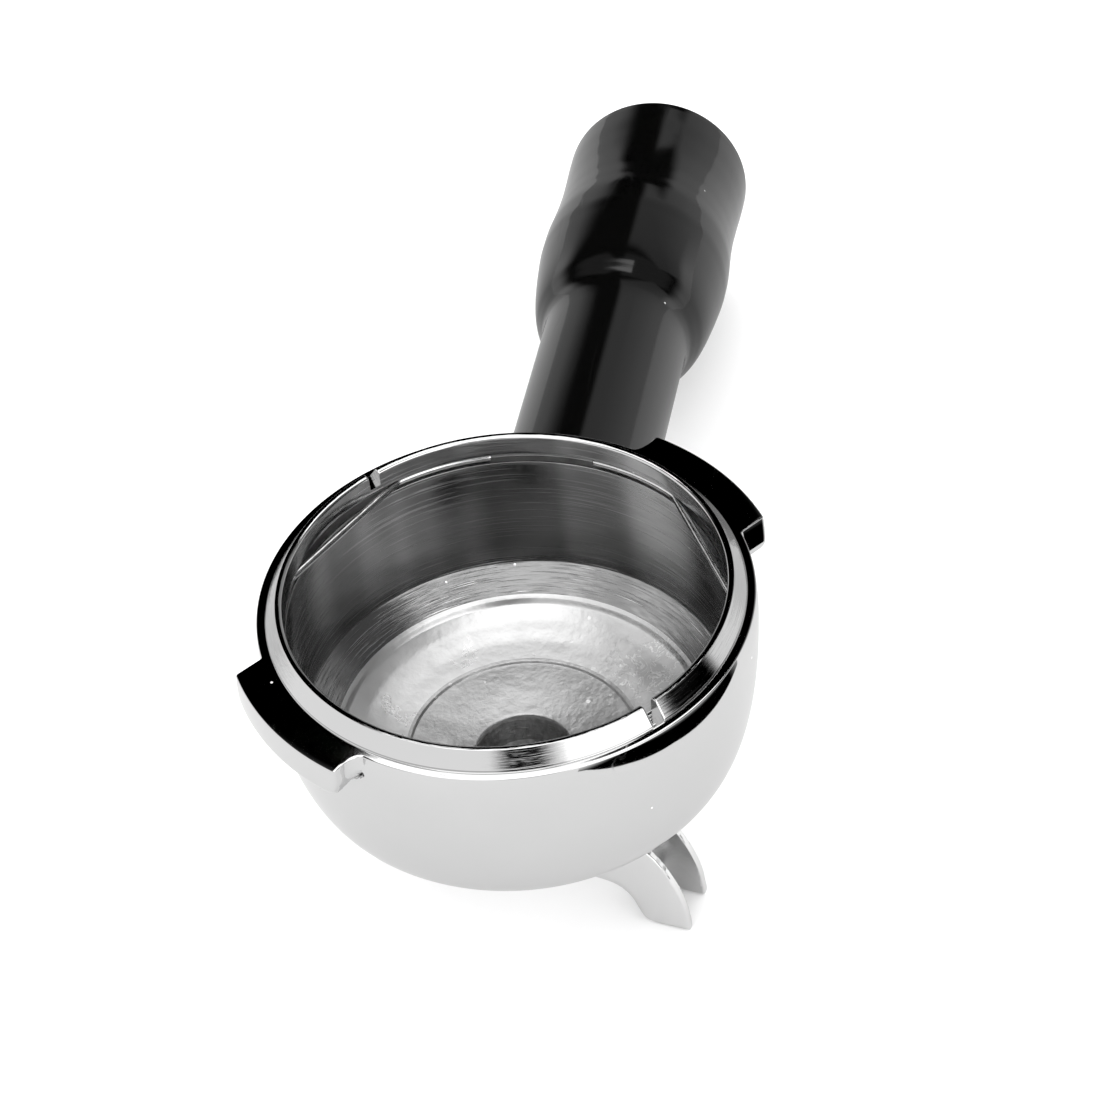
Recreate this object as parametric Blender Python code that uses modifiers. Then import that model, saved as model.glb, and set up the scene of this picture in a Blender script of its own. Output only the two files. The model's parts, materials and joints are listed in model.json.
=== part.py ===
"""Coffee portafilter: a chromed brass bowl with two bayonet lugs and a basket
spring, an open double spout on a threaded outlet, and a plastic grip on a stud.

Frame: +Z up along the bowl's axis, +Y towards the grip. The origin is on the
bowl's axis, on the flat face under the middle of the spout. Metres.

Dimensions are in millimetres. Names ending in _R are radii. On the bowl and the
spout, names ending in _Z are heights above the rim, so most are negative. On the
handle, names ending in _START and _END are distances along the grip axis.
"""

import math

import bmesh
import bpy
from mathutils import Matrix, Vector

MM = 0.001

# -------------------------------------------------------- shared dimensions
RIM_Z = 55.9  # rim above the flat under the spout, the only height from the origin
AXIS_Z, DROOP_DEG = -23.74, 6.62  # grip axis where it crosses the bowl's axis
SPOUT_TURN_DEG = -11.0

BOWL_R = 34.95
SEAT_Z = -37.6  # gasket's seat under the outlet boss
NIPPLE_R, NIPPLE_Z = 8.33, -46.2  # G 3/8 outlet thread, drawn plain

BOSS_END = 46.4
STUD_R, STUD_START, STUD_END = 5.95, 35.8, 70.0  # M12 stud, drawn plain
STUD_CLEAR_R = STUD_R + 0.1  # holes the stud passes through

# Segments round each turned piece
BOWL_STEPS = 56
GRIP_STEPS = 40
FITTING_STEPS = 36  # handle boss, gasket, spout hub, end plug
STUD_STEPS = 32  # stud, washer, insert

# ------------------------------------------------------------------- scene


def clear():
    for obj in list(bpy.data.objects):
        bpy.data.objects.remove(obj, do_unlink=True)
    for mesh in list(bpy.data.meshes):
        bpy.data.meshes.remove(mesh)


def collection(name):
    group = bpy.data.collections.new(name)
    bpy.context.scene.collection.children.link(group)
    return group


clear()
parts = collection("portafilter")
cutters = collection("cutters")


def material(name, colour, roughness, metallic):
    mat = bpy.data.materials.new(name)
    mat.use_nodes = True
    shader = mat.node_tree.nodes["Principled BSDF"]
    shader.inputs["Base Color"].default_value = (*colour, 1.0)
    shader.inputs["Roughness"].default_value = roughness
    shader.inputs["Metallic"].default_value = metallic
    return mat


chrome = material("chrome", colour=(0.82, 0.82, 0.83), roughness=0.08, metallic=1.0)
spring_steel = material(
    "spring_steel", colour=(0.62, 0.62, 0.63), roughness=0.22, metallic=1.0
)
zinc_steel = material("zinc_steel", colour=(0.55, 0.56, 0.58), roughness=0.35, metallic=1.0)
brass = material("brass", colour=(0.72, 0.52, 0.22), roughness=0.3, metallic=1.0)
fibre = material("gasket_fibre", colour=(0.83, 0.8, 0.74), roughness=0.7, metallic=0.0)
plastic = material(
    "black_plastic", colour=(0.012, 0.012, 0.013), roughness=0.12, metallic=0.0
)
plug_plastic = material(
    "plug_plastic", colour=(0.015, 0.015, 0.016), roughness=0.22, metallic=0.0
)


def frame(name, height, turn_x_deg=0.0, turn_z_deg=0.0):
    """An empty on the bowl's axis that pieces are parented to."""
    empty = bpy.data.objects.new(name, None)
    empty.location = (0, 0, height * MM)
    empty.rotation_euler = (math.radians(turn_x_deg), 0, math.radians(turn_z_deg))
    parts.objects.link(empty)
    return empty


bowl_frame = frame("bowl_frame", RIM_Z)
# Local Z runs along the grip.
handle_axis = frame("handle_axis", RIM_Z + AXIS_Z, turn_x_deg=-90 - DROOP_DEG)
# Local X runs along the spout.
spout_axis = frame("spout_axis", RIM_Z, turn_z_deg=SPOUT_TURN_DEG)
bpy.context.view_layer.update()

# ------------------------------------------------------------ shape helpers


def place(name, data, mat=None, parent=None):
    """An object for the data: a visible part, or without a material a helper."""
    obj = bpy.data.objects.new(name, data)
    if mat:
        parts.objects.link(obj)
        data.materials.append(mat)
    else:
        cutters.objects.link(obj)
        obj.hide_render = True
        obj.display_type = "WIRE"
    obj.parent = parent
    return obj


def turned(name, profile, steps, closed=False, **placing):
    """A profile of (radius, height), turned about the local Z axis."""
    points = [(radius * MM, 0.0, z * MM) for radius, z in profile]
    edges = [(i, i + 1) for i in range(len(points) - 1)]
    if closed:
        edges.append((len(points) - 1, 0))
    mesh = bpy.data.meshes.new(name)
    mesh.from_pydata(points, edges, [])
    obj = place(name, mesh, **placing)
    screw = obj.modifiers.new("turn", "SCREW")
    screw.axis = "Z"
    screw.angle = math.tau
    screw.steps = steps
    screw.render_steps = steps
    screw.use_merge_vertices = True
    screw.merge_threshold = 1e-5
    screw.use_smooth_shade = True
    return obj


def plate(name, outline, low, high):
    """A helper: a flat outline of (x, y), extruded from low to high."""
    curve = bpy.data.curves.new(name, "CURVE")
    curve.dimensions = "2D"
    curve.fill_mode = "BOTH"
    curve.extrude = (high - low) / 2 * MM
    spline = curve.splines.new("POLY")
    spline.points.add(len(outline) - 1)
    for point, (x, y) in zip(spline.points, outline):
        point.co = (x * MM, y * MM, 0.0, 1.0)
    spline.use_cyclic_u = True

    # The filled curve becomes a mesh, with its caps joined to its sides.
    guide = bpy.data.objects.new(name + "_curve", curve)
    cutters.objects.link(guide)
    bpy.context.view_layer.update()
    graph = bpy.context.evaluated_depsgraph_get()
    mesh = bpy.data.meshes.new_from_object(guide.evaluated_get(graph))
    mesh.name = name
    bpy.data.objects.remove(guide)
    shape = bmesh.new()
    shape.from_mesh(mesh)
    bmesh.ops.remove_doubles(shape, verts=shape.verts, dist=1e-6)
    bmesh.ops.recalc_face_normals(shape, faces=shape.faces)
    shape.to_mesh(mesh)
    shape.free()
    obj = place(name, mesh)
    obj.location.z = (low + high) / 2 * MM
    return obj


def block(name, size, centre, turn, parent=None):
    """A helper box about centre, then moved by the matrix turn."""
    mesh = bpy.data.meshes.new(name)
    shape = bmesh.new()
    bmesh.ops.create_cube(shape, size=1.0)
    bmesh.ops.scale(shape, vec=Vector(size) * MM, verts=shape.verts)
    shape.to_mesh(mesh)
    shape.free()
    obj = place(name, mesh, parent=parent)
    obj.matrix_world = turn @ Matrix.Translation(Vector(centre) * MM)
    return obj


def loft(name, rings, **placing):
    """A closed skin through rings of equal point count, capped."""
    mesh = bpy.data.meshes.new(name)
    shape = bmesh.new()
    rows = [[shape.verts.new(Vector(point) * MM) for point in ring] for ring in rings]
    size = len(rows[0])
    for first, second in zip(rows, rows[1:]):
        for i in range(size):
            j = (i + 1) % size
            shape.faces.new((first[i], first[j], second[j], second[i]))
    shape.faces.new(rows[0][::-1])
    shape.faces.new(rows[-1])
    bmesh.ops.recalc_face_normals(shape, faces=shape.faces)
    shape.to_mesh(mesh)
    shape.free()
    return place(name, mesh, **placing)


def boolean(obj, other, operation):
    modifier = obj.modifiers.new(operation.lower() + "_" + other.name, "BOOLEAN")
    modifier.operation = operation
    modifier.object = other
    modifier.solver = "EXACT"


def smooth(obj):
    if obj.type == "MESH":
        obj.data.shade_smooth()
        obj.data.set_sharp_from_angle(angle=math.radians(35))


def polar(radius, degrees):
    angle = math.radians(degrees)
    return radius * math.cos(angle), radius * math.sin(angle)


def arc(centre_x, centre_y, radius, start, end, count):
    """Points on an arc, angles in degrees from the first axis, ends included."""
    offsets = [polar(radius, start + (end - start) * i / count) for i in range(count + 1)]
    return [(centre_x + x, centre_y + y) for x, y in offsets]


def bezier(controls, count):
    """Points on a cubic through four control points, without the first one."""
    points = []
    for i in range(1, count + 1):
        t = i / count
        weights = ((1 - t) ** 3, 3 * t * (1 - t) ** 2, 3 * t * t * (1 - t), t**3)
        points.append(
            tuple(
                sum(weight * value for weight, value in zip(weights, values))
                for values in zip(*controls)
            )
        )
    return points


def spline_at(knots, share):
    """A smooth curve through the knots (Catmull-Rom), share from 0 to 1."""
    span = share * (len(knots) - 1)
    i = min(int(span), len(knots) - 2)
    t = span - i
    start, end = knots[i], knots[i + 1]
    # Past either end of the knots, the neighbour is mirrored.
    before = knots[i - 1] if i else tuple(2 * p - q for p, q in zip(start, end))
    if i + 2 < len(knots):
        after = knots[i + 2]
    else:
        after = tuple(2 * q - p for p, q in zip(start, end))
    return tuple(
        0.5
        * (
            2 * p1
            + (p2 - p0) * t
            + (2 * p0 - 5 * p1 + 4 * p2 - p3) * t * t
            + (3 * p1 - p0 - 3 * p2 + p3) * t**3
        )
        for p0, p1, p2, p3 in zip(before, start, end, after)
    )


# ----------------------------------------------------------------- bowl body
MOUTH_R = 30.8  # mouth the filter basket drops into
RIM_FLAT_R = 31.75  # outer edge of the flat top of the rim
NECK_R = 33.4
CHAMFER_Z = -2.1  # foot of the chamfer round the rim
FLANGE_Z = -2.5  # flat step at the foot of the neck
SHOULDER_ROUND = 0.3
GROOVE_TOP_Z, GROOVE_LOW_Z, GROOVE_R = -3.2, -4.95, 32.35  # holds the spring
WALL_LOW_R, WALL_LOW_Z = 31.3, -25.2  # foot of the inner wall
BAND_R, BAND_Z = 26.7, -28.75  # foot of the turned cone
RING_R, RING_Z = 16.9, -32.4  # step ring in the cast floor
OUTLET_R, OUTLET_Z = 6.8, -34.2  # mouth of the outlet
BORE_R = 5.9
UNDER_R, UNDER_Z = 17.0, -36.0  # flat underside of the bowl
OUTLET_BOSS_R, OUTLET_BOSS_FLARE = 12.5, 1.0
NIPPLE_CHAMFER = 0.7
CUT_OVER = 2.0  # how far the inside cutter runs past the rim and the nipple

# The side is a superellipse from SIDE_Z down towards SIDE_LOW_Z.
SIDE_Z, SIDE_LOW_Z, SIDE_LOW_R, SIDE_POWER = -4.5, -30.0, 28.8, 2.3
SIDE_SHARES = (0.0, 0.3, 0.5, 0.65, 0.77, 0.87, 0.95)  # of the way down the curve


def side_point(share):
    """Radius and height of the bowl's side at a share of the way down."""
    bulge = (1 - share**SIDE_POWER) ** (1 / SIDE_POWER)
    return (
        SIDE_LOW_R + (BOWL_R - SIDE_LOW_R) * bulge,
        SIDE_Z + (SIDE_LOW_Z - SIDE_Z) * share,
    )


def bowl_outside():
    shoulder = arc(
        BOWL_R - SHOULDER_ROUND, FLANGE_Z - SHOULDER_ROUND, SHOULDER_ROUND, 90, 0, 3
    )
    side = [side_point(share) for share in SIDE_SHARES]
    end_r, end_z = side[-1]
    under = bezier(
        (
            (end_r, end_z),
            (end_r - 2.9, end_z - 3.7),
            (UNDER_R + 6.0, UNDER_Z),
            (UNDER_R, UNDER_Z),
        ),
        4,
    )
    rim = [(0, 0), (RIM_FLAT_R, 0), (NECK_R, CHAMFER_Z), (NECK_R, FLANGE_Z)]
    outlet = [
        (OUTLET_BOSS_R + OUTLET_BOSS_FLARE, UNDER_Z),
        (OUTLET_BOSS_R, UNDER_Z - OUTLET_BOSS_FLARE),
        (OUTLET_BOSS_R, SEAT_Z),
        (NIPPLE_R, SEAT_Z),
        (NIPPLE_R, NIPPLE_Z + NIPPLE_CHAMFER),
        (NIPPLE_R - NIPPLE_CHAMFER, NIPPLE_Z),
        (0, NIPPLE_Z),
    ]
    return rim + shoulder + side + under + outlet


def bowl_inside():
    """The cutter for the mouth, spring groove, floor and outlet bore."""
    profile = [
        (0, CUT_OVER),
        (MOUTH_R, CUT_OVER),
        (MOUTH_R, GROOVE_TOP_Z),
        (GROOVE_R, GROOVE_TOP_Z),
        (GROOVE_R, GROOVE_LOW_Z),
        (MOUTH_R + 0.1, GROOVE_LOW_Z),
        (WALL_LOW_R, WALL_LOW_Z),
        (BAND_R, BAND_Z),
        (BAND_R - 0.55, BAND_Z - 0.75),
        (24.0, -30.6),
        (20.5, -31.7),
        (RING_R + 0.2, RING_Z + 0.05),
        (RING_R - 0.2, RING_Z - 0.25),
        (11.5, -33.5),
        (OUTLET_R, OUTLET_Z),
        (BORE_R, OUTLET_Z - 1.6),
        (BORE_R, NIPPLE_Z - CUT_OVER),
        (0, NIPPLE_Z - CUT_OVER),
    ]
    return turned("bowl_inside", profile, BOWL_STEPS, parent=bowl_frame)


# Lugs, opposite each other: azimuth of the square end's tip corner, in degrees
LUG_FIRST = -151.7
LUGS = {"lug_left": LUG_FIRST, "lug_right": LUG_FIRST + 180}
LUG_SPAN = 36.0  # degrees from the first tip corner to the last
LUG_FILLET = 4.1  # degrees from the last tip corner to the fillet's foot
LUG_SPLAY = 3.5  # degrees the square end's root lies before its tip corner
LUG_R, LUG_ROOT_R = 39.0, 33.7
LUG_TOP_Z, LUG_DEEP_Z, LUG_SHALLOW_Z = -2.56, -8.5, -7.7
LUG_SPARE = 1.5  # depth left under the lug for the ramp to cut away
LUG_STEPS = 9
RAMP_SIZE, RAMP_R = (20, 60, 6), 36.5


def lug(name, first):
    """A square end, an arc and a hollow fillet, with a ramp underneath."""
    last = first + LUG_SPAN
    root = last + LUG_FILLET
    outline = [polar(LUG_ROOT_R, first - LUG_SPLAY)]
    outline += [
        polar(LUG_R, first + (last - first) * i / LUG_STEPS) for i in range(LUG_STEPS)
    ]
    # The hollow fillet: radius, and share of the way from last to root
    fillet = ((LUG_R - 0.4, 0.0), (LUG_R - 2.4, 0.18), (LUG_R - 3.6, 0.55), (BOWL_R - 0.1, 1.0))
    outline += [polar(radius, last + (root - last) * share) for radius, share in fillet]
    outline += [
        polar(LUG_ROOT_R, root + (first - root) * i / LUG_STEPS) for i in range(LUG_STEPS)
    ]
    body = plate(name, outline, RIM_Z + LUG_DEEP_Z - LUG_SPARE, RIM_Z + LUG_TOP_Z)

    # The underside is a flat ramp, deeper at the square end.
    slope = math.atan2(LUG_SHALLOW_Z - LUG_DEEP_Z, LUG_R * math.radians(last - first))
    ramp_z = RIM_Z + (LUG_DEEP_Z + LUG_SHALLOW_Z) / 2
    turn = (
        Matrix.Rotation(math.radians((first + last) / 2), 4, "Z")
        @ Matrix.Translation(Vector((RAMP_R, 0, ramp_z)) * MM)
        @ Matrix.Rotation(slope, 4, "X")
    )
    ramp = block(name + "_ramp", RAMP_SIZE, (0, 0, -RAMP_SIZE[2] / 2), turn)
    boolean(body, ramp, "DIFFERENCE")
    return body


BOSS_START = 23.0
BOSS_BASE_R, BOSS_TIP_R, BOSS_CHAMFER = 12.2, 10.8, 0.6
STUD_HOLE_START = STUD_START - 0.5


def handle_boss():
    profile = [
        (0, STUD_HOLE_START),
        (STUD_CLEAR_R, STUD_HOLE_START),
        (STUD_CLEAR_R, BOSS_END),
        (BOSS_TIP_R - BOSS_CHAMFER, BOSS_END),
        (BOSS_TIP_R, BOSS_END - BOSS_CHAMFER),
        (BOSS_TIP_R + 0.1, BOSS_END - 4.0),
        (BOSS_BASE_R - 0.5, BOSS_START + 12.0),
        (BOSS_BASE_R, BOSS_START + 5.0),
        (BOSS_BASE_R - 1.6, BOSS_START + 1.2),
        (BOSS_BASE_R - 4.5, BOSS_START),
        (0, BOSS_START),
    ]
    return turned("handle_boss", profile, FITTING_STEPS, parent=handle_axis)


NOTCH_AZIMUTHS = (137.5, -43.3)
NOTCH_FLOOR_Z = -2.4
NOTCH_SIZE, NOTCH_R = (6.0, 1.8, 6.0), 32.0  # size is radial, across, up


def rim_notch(number, azimuth):
    return block(
        f"notch_{number}",
        NOTCH_SIZE,
        (NOTCH_R, 0, RIM_Z + NOTCH_FLOOR_Z + NOTCH_SIZE[2] / 2),
        Matrix.Rotation(math.radians(azimuth), 4, "Z"),
    )


def build_bowl():
    bowl = turned("bowl_body", bowl_outside(), BOWL_STEPS, mat=chrome, parent=bowl_frame)
    for name, first in LUGS.items():
        boolean(bowl, lug(name, first), "UNION")
    boolean(bowl, handle_boss(), "UNION")
    boolean(bowl, bowl_inside(), "DIFFERENCE")
    for number, azimuth in enumerate(NOTCH_AZIMUTHS, start=1):
        boolean(bowl, rim_notch(number, azimuth), "DIFFERENCE")


# ------------------------------------------------------------- basket spring
WIRE_R, WIRE_LINE_R, WIRE_Z = 0.55, 31.5, -4.1
WIRE_ENDS = (104.0, 435.0)  # azimuths, degrees
WIRE_FLATS = ((130.0, 175.0), (248.0, 292.0), (366.0, 409.0))  # azimuths
WIRE_STOPS = range(107, 433, 5)  # azimuths of the points between the ends


def wire_radius(azimuth):
    """The wire lies in the groove and runs straight across each flat."""
    for start, end in WIRE_FLATS:
        if start < azimuth < end:
            half = math.radians((end - start) / 2)
            off = math.radians(azimuth - (start + end) / 2)
            return WIRE_LINE_R * math.cos(half) / math.cos(off)
    return WIRE_LINE_R


def build_spring():
    wire = bpy.data.curves.new("basket_spring", "CURVE")
    wire.dimensions = "3D"
    wire.bevel_depth = WIRE_R * MM
    wire.bevel_resolution = 1
    wire.use_fill_caps = True
    flat_ends = {azimuth for flat in WIRE_FLATS for azimuth in flat}
    stops = sorted({*WIRE_ENDS, *WIRE_STOPS} | flat_ends)
    strand = wire.splines.new("POLY")
    strand.points.add(len(stops) - 1)
    for point, azimuth in zip(strand.points, stops):
        x, y = polar(wire_radius(azimuth), azimuth)
        point.co = (x * MM, y * MM, WIRE_Z * MM, 1.0)
    place("basket_spring", wire, mat=spring_steel, parent=bowl_frame)


# ---------------------------------------------------------- gasket and spout
GASKET_GAP = 0.15  # above and below the gasket
GASKET_BORE_R, GASKET_R, GASKET_THICK = 8.6, 11.6, 1.4
GASKET_TOP_Z = SEAT_Z - GASKET_GAP
GASKET_LOW_Z = GASKET_TOP_Z - GASKET_THICK


def build_gasket():
    profile = [
        (GASKET_R, GASKET_TOP_Z),
        (GASKET_R, GASKET_LOW_Z),
        (GASKET_BORE_R, GASKET_LOW_Z),
        (GASKET_BORE_R, GASKET_TOP_Z),
    ]
    turned(
        "spout_gasket", profile, FITTING_STEPS, closed=True, mat=fibre, parent=spout_axis
    )


# The open channel from the middle of the spout to one tip: its two edges and
# the line along its back, as (distance from the bowl's axis, height).
EDGE_LINE = (
    (0.0, -44.9), (6.0, -44.9), (12.0, -44.8),
    (16.5, -45.0), (19.5, -46.2), (21.8, -49.0),
    (23.7, -52.6), (25.1, -56.8), (25.8, -62.0),
)
BACK_LINE = (
    (0.0, -RIM_Z), (6.0, -RIM_Z), (10.0, -RIM_Z),
    (12.4, -56.1), (14.0, -56.6), (15.2, -57.6),
    (16.1, -59.0), (16.6, -60.4), (16.8, -62.0),
)
STATIONS = 12
SPOUT_HALF_W, SPOUT_WALL = 4.25, 1.2
SPOUT_FLAT_HALF = 1.6  # half width of the flat along the channel's back
TROUGH_LIFT = 1.2  # how far the trough cutter stands above the edges
TROUGH_PAST = 3.0  # how far it runs below the tips
TROUGH_EDGE_OUT, TROUGH_BACK_OUT = 0.4, 0.1  # how far it drifts outwards there

HUB_R, HUB_CHAMFER = 12.2, 0.6
HUB_TOP_Z, HUB_LOW_Z = GASKET_LOW_Z - GASKET_GAP, -44.2
HUB_FOOT_Z = HUB_LOW_Z - 8.6
HUB_BORE_R = NIPPLE_R + 0.1
HUB_BORE_TOP_Z = HUB_TOP_Z + 2


def u_section(edge, back, half_width, flat_half, lift, deepen):
    """A U across the channel: square to the line from edge to back."""
    edge_x, edge_z = edge
    step_x, step_z = back[0] - edge_x, back[1] - edge_z
    length = math.hypot(step_x, step_z)
    step_x, step_z = step_x / length, step_z / length
    length += deepen
    corner = half_width - flat_half
    # Half of the U: offset across the channel, and depth below the edge
    half_u = [(half_width, -lift), (half_width, length - corner)]
    half_u += [
        (flat_half + y, length - corner + fall)
        for y, fall in arc(0, 0, corner, 22.5, 90, 3)
    ]
    ring = [(edge_x + step_x * depth, y, edge_z + step_z * depth) for y, depth in half_u]
    return ring + [(x, -y, z) for x, y, z in reversed(ring)]


def channel_stations():
    """Edge and back points from the middle of the spout to one tip."""
    shares = [i / STATIONS for i in range(STATIONS + 1)]
    return [(spline_at(EDGE_LINE, share), spline_at(BACK_LINE, share)) for share in shares]


def channel(name, stations, half_width, flat_half, lift=0.0, deepen=0.0, **placing):
    """A solid U-shaped bar through the stations, mirrored to the other tip."""
    half = [
        u_section(edge, back, half_width, flat_half, lift, deepen)
        for edge, back in stations
    ]
    mirrored = [[(-x, y, z) for x, y, z in ring] for ring in reversed(half[1:])]
    return loft(name, mirrored + half, parent=spout_axis, **placing)


def spout_trough():
    """The cutter that hollows the channel and opens it at the top and tips."""
    edge_x, edge_z = EDGE_LINE[-1]
    back_x, back_z = BACK_LINE[-1]
    past_tip = (
        (edge_x + TROUGH_EDGE_OUT, edge_z - TROUGH_PAST),
        (back_x + TROUGH_BACK_OUT, back_z - TROUGH_PAST),
    )
    return channel(
        "spout_trough",
        channel_stations() + [past_tip],
        half_width=SPOUT_HALF_W - SPOUT_WALL,
        flat_half=SPOUT_FLAT_HALF - 0.6,
        lift=TROUGH_LIFT,
        deepen=-SPOUT_WALL - 0.25,
    )


def spout_hub():
    profile = [
        (0, HUB_TOP_Z),
        (HUB_R - HUB_CHAMFER, HUB_TOP_Z),
        (HUB_R, HUB_TOP_Z - HUB_CHAMFER),
        (HUB_R, HUB_LOW_Z),
        (10.8, HUB_LOW_Z - 2.6),
        (8.4, HUB_LOW_Z - 5.4),
        (6.2, HUB_FOOT_Z),
        (0, HUB_FOOT_Z),
    ]
    return turned("spout_hub", profile, FITTING_STEPS, parent=spout_axis)


def hub_bore():
    profile = [
        (0, HUB_BORE_TOP_Z),
        (HUB_BORE_R, HUB_BORE_TOP_Z),
        (HUB_BORE_R, NIPPLE_Z - 0.8),
        (4.2, NIPPLE_Z - 4.6),
        (0, NIPPLE_Z - 5.4),
    ]
    return turned("hub_bore", profile, FITTING_STEPS, parent=spout_axis)


def build_spout():
    spout = channel(
        "spout_body",
        channel_stations(),
        half_width=SPOUT_HALF_W,
        flat_half=SPOUT_FLAT_HALF,
        mat=chrome,
    )
    boolean(spout, spout_hub(), "UNION")
    boolean(spout, hub_bore(), "DIFFERENCE")
    boolean(spout, spout_trough(), "DIFFERENCE")


# ------------------------------------------------------------- handle pieces
STUD_CHAMFER = 0.9


def build_stud():
    profile = [
        (0, STUD_END),
        (STUD_R - STUD_CHAMFER, STUD_END),
        (STUD_R, STUD_END - STUD_CHAMFER),
        (STUD_R, STUD_START + STUD_CHAMFER),
        (STUD_R - STUD_CHAMFER, STUD_START),
        (0, STUD_START),
    ]
    turned("handle_stud", profile, STUD_STEPS, mat=zinc_steel, parent=handle_axis)


WASHER_BORE_R, WASHER_R = 6.4, 10.2
WASHER_START = BOSS_END + 0.3
WASHER_END = WASHER_START + 1.0
SLIT_SIZE, SLIT_X, SLIT_Y = (8.0, 1.0, 4.0), 9.0, 0.6  # in the handle's frame


def build_washer():
    """A flat ring, split on its +X side."""
    profile = [
        (WASHER_R, WASHER_END),
        (WASHER_R, WASHER_START),
        (WASHER_BORE_R, WASHER_START),
        (WASHER_BORE_R, WASHER_END),
    ]
    washer = turned(
        "handle_washer", profile, STUD_STEPS, closed=True, mat=zinc_steel, parent=handle_axis
    )
    slit = block(
        "washer_slit",
        SLIT_SIZE,
        (SLIT_X, SLIT_Y, (WASHER_START + WASHER_END) / 2),
        handle_axis.matrix_world,
        parent=handle_axis,
    )
    boolean(washer, slit, "DIFFERENCE")


GRIP_START, GRIP_END = 48.0, 157.2
INSERT_R, INSERT_START, INSERT_END = 8.0, GRIP_START + 0.3, 69.0
INSERT_GROOVE = 0.7  # depth of the groove round the insert
INSERT_CHAMFER = 0.6


def build_insert():
    profile = [
        (INSERT_R, INSERT_END),
        (INSERT_R, INSERT_START + 12.0),
        (INSERT_R - INSERT_GROOVE, INSERT_START + 11.2),
        (INSERT_R - INSERT_GROOVE, INSERT_START + 9.4),
        (INSERT_R, INSERT_START + 8.6),
        (INSERT_R, INSERT_START),
        (STUD_CLEAR_R + INSERT_CHAMFER, INSERT_START),
        (STUD_CLEAR_R, INSERT_START + INSERT_CHAMFER),
        (STUD_CLEAR_R, INSERT_END),
    ]
    turned(
        "handle_insert", profile, STUD_STEPS, closed=True, mat=brass, parent=handle_axis
    )


# Outside of the grip: (radius, distance along the grip axis)
GRIP_LINE = (
    (12.03, 49.6), (12.48, 97.3), (12.9, 99.4), (13.8, 101.3), (14.9, 103.8),
    (15.55, 107.5), (16.6, 116.0), (17.0, 120.0), (17.1, 124.0), (16.6, 134.0),
    (16.52, 140.0), (16.88, 151.0), (17.0, 155.4),
)
START_R, START_ROUND = 12.0, 1.1  # rounded edge at the bowl end
END_R, END_ROUND = GRIP_LINE[-1][0], 1.4  # rounded edge at the far end
POCKET_R = INSERT_R + 0.08  # pocket for the insert
POCKET_END = INSERT_END + 0.3
STUD_BORE_R = 6.4  # beyond the insert
SOCKET_R = 12.6  # hollow in the far end
RECESS_R, RECESS_START = 15.3, 154.6  # wider recess the plug's head sits in


def build_grip():
    socket = [
        (0, 105.0),
        (9.0, 105.0),
        (SOCKET_R, 111.0),
        (SOCKET_R, RECESS_START),
        (RECESS_R, RECESS_START),
        (RECESS_R, GRIP_END - 0.2),
        (RECESS_R + 0.2, GRIP_END),
    ]
    far_edge = arc(END_R - END_ROUND, GRIP_END - END_ROUND, END_ROUND, 90, 8, 3)
    near_edge = arc(
        START_R - START_ROUND, GRIP_START + START_ROUND, START_ROUND, -8, -90, 3
    )
    bore = [
        (POCKET_R, GRIP_START),
        (POCKET_R, POCKET_END),
        (STUD_BORE_R, POCKET_END),
        (STUD_BORE_R, 74.0),
        (0, 75.5),
    ]
    profile = socket + far_edge + list(reversed(GRIP_LINE)) + near_edge + bore
    turned("handle_grip", profile, GRIP_STEPS, mat=plastic, parent=handle_axis)


PLUG_GAP = 0.3  # between the plug and the grip
PLUG_R = RECESS_R - PLUG_GAP
PLUG_HEAD_START = RECESS_START + PLUG_GAP
PLUG_END = GRIP_END + 1.2
SKIRT_R, SKIRT_WALL, SKIRT_START = SOCKET_R - PLUG_GAP, 1.5, 149.5
PLUG_INSIDE_END = 153.2


def build_end_plug():
    """A domed head with a hollow skirt that fits the grip's socket."""
    profile = [
        (0, PLUG_END),
        (5.0, PLUG_END - 0.12),
        (10.0, PLUG_END - 0.5),
        (13.4, PLUG_END - 0.95),
        (14.6, PLUG_END - 1.4),
        (PLUG_R, PLUG_END - 2.1),
        (PLUG_R, PLUG_HEAD_START),
        (SKIRT_R, PLUG_HEAD_START),
        (SKIRT_R, SKIRT_START),
        (SKIRT_R - SKIRT_WALL, SKIRT_START),
        (SKIRT_R - SKIRT_WALL, PLUG_INSIDE_END),
        (0, PLUG_INSIDE_END),
    ]
    turned(
        "handle_end_plug", profile, FITTING_STEPS, mat=plug_plastic, parent=handle_axis
    )


# -------------------------------------------------------------------- build
build_bowl()
build_spring()
build_gasket()
build_spout()
build_stud()
build_washer()
build_insert()
build_grip()
build_end_plug()

for part in parts.objects:
    smooth(part)
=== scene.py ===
"""Portafilter: a lugged bowl, a double spout below it and a moulded handle.

The bowl is upright, with its centre line on the Z axis. The spout hangs under
it and opens along X, turned a little. The handle follows the grip's joint axis.
Shapes are worked out in millimetres in the row frame and written in metres.
Heights of the bowl and spout are measured from the rim, up being positive.
Handle sections are (radius, distance along the grip's axis).
"""

import json
import math
from functools import cached_property

import bmesh
import bpy
import numpy as np
from mathutils import Matrix, Vector


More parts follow.
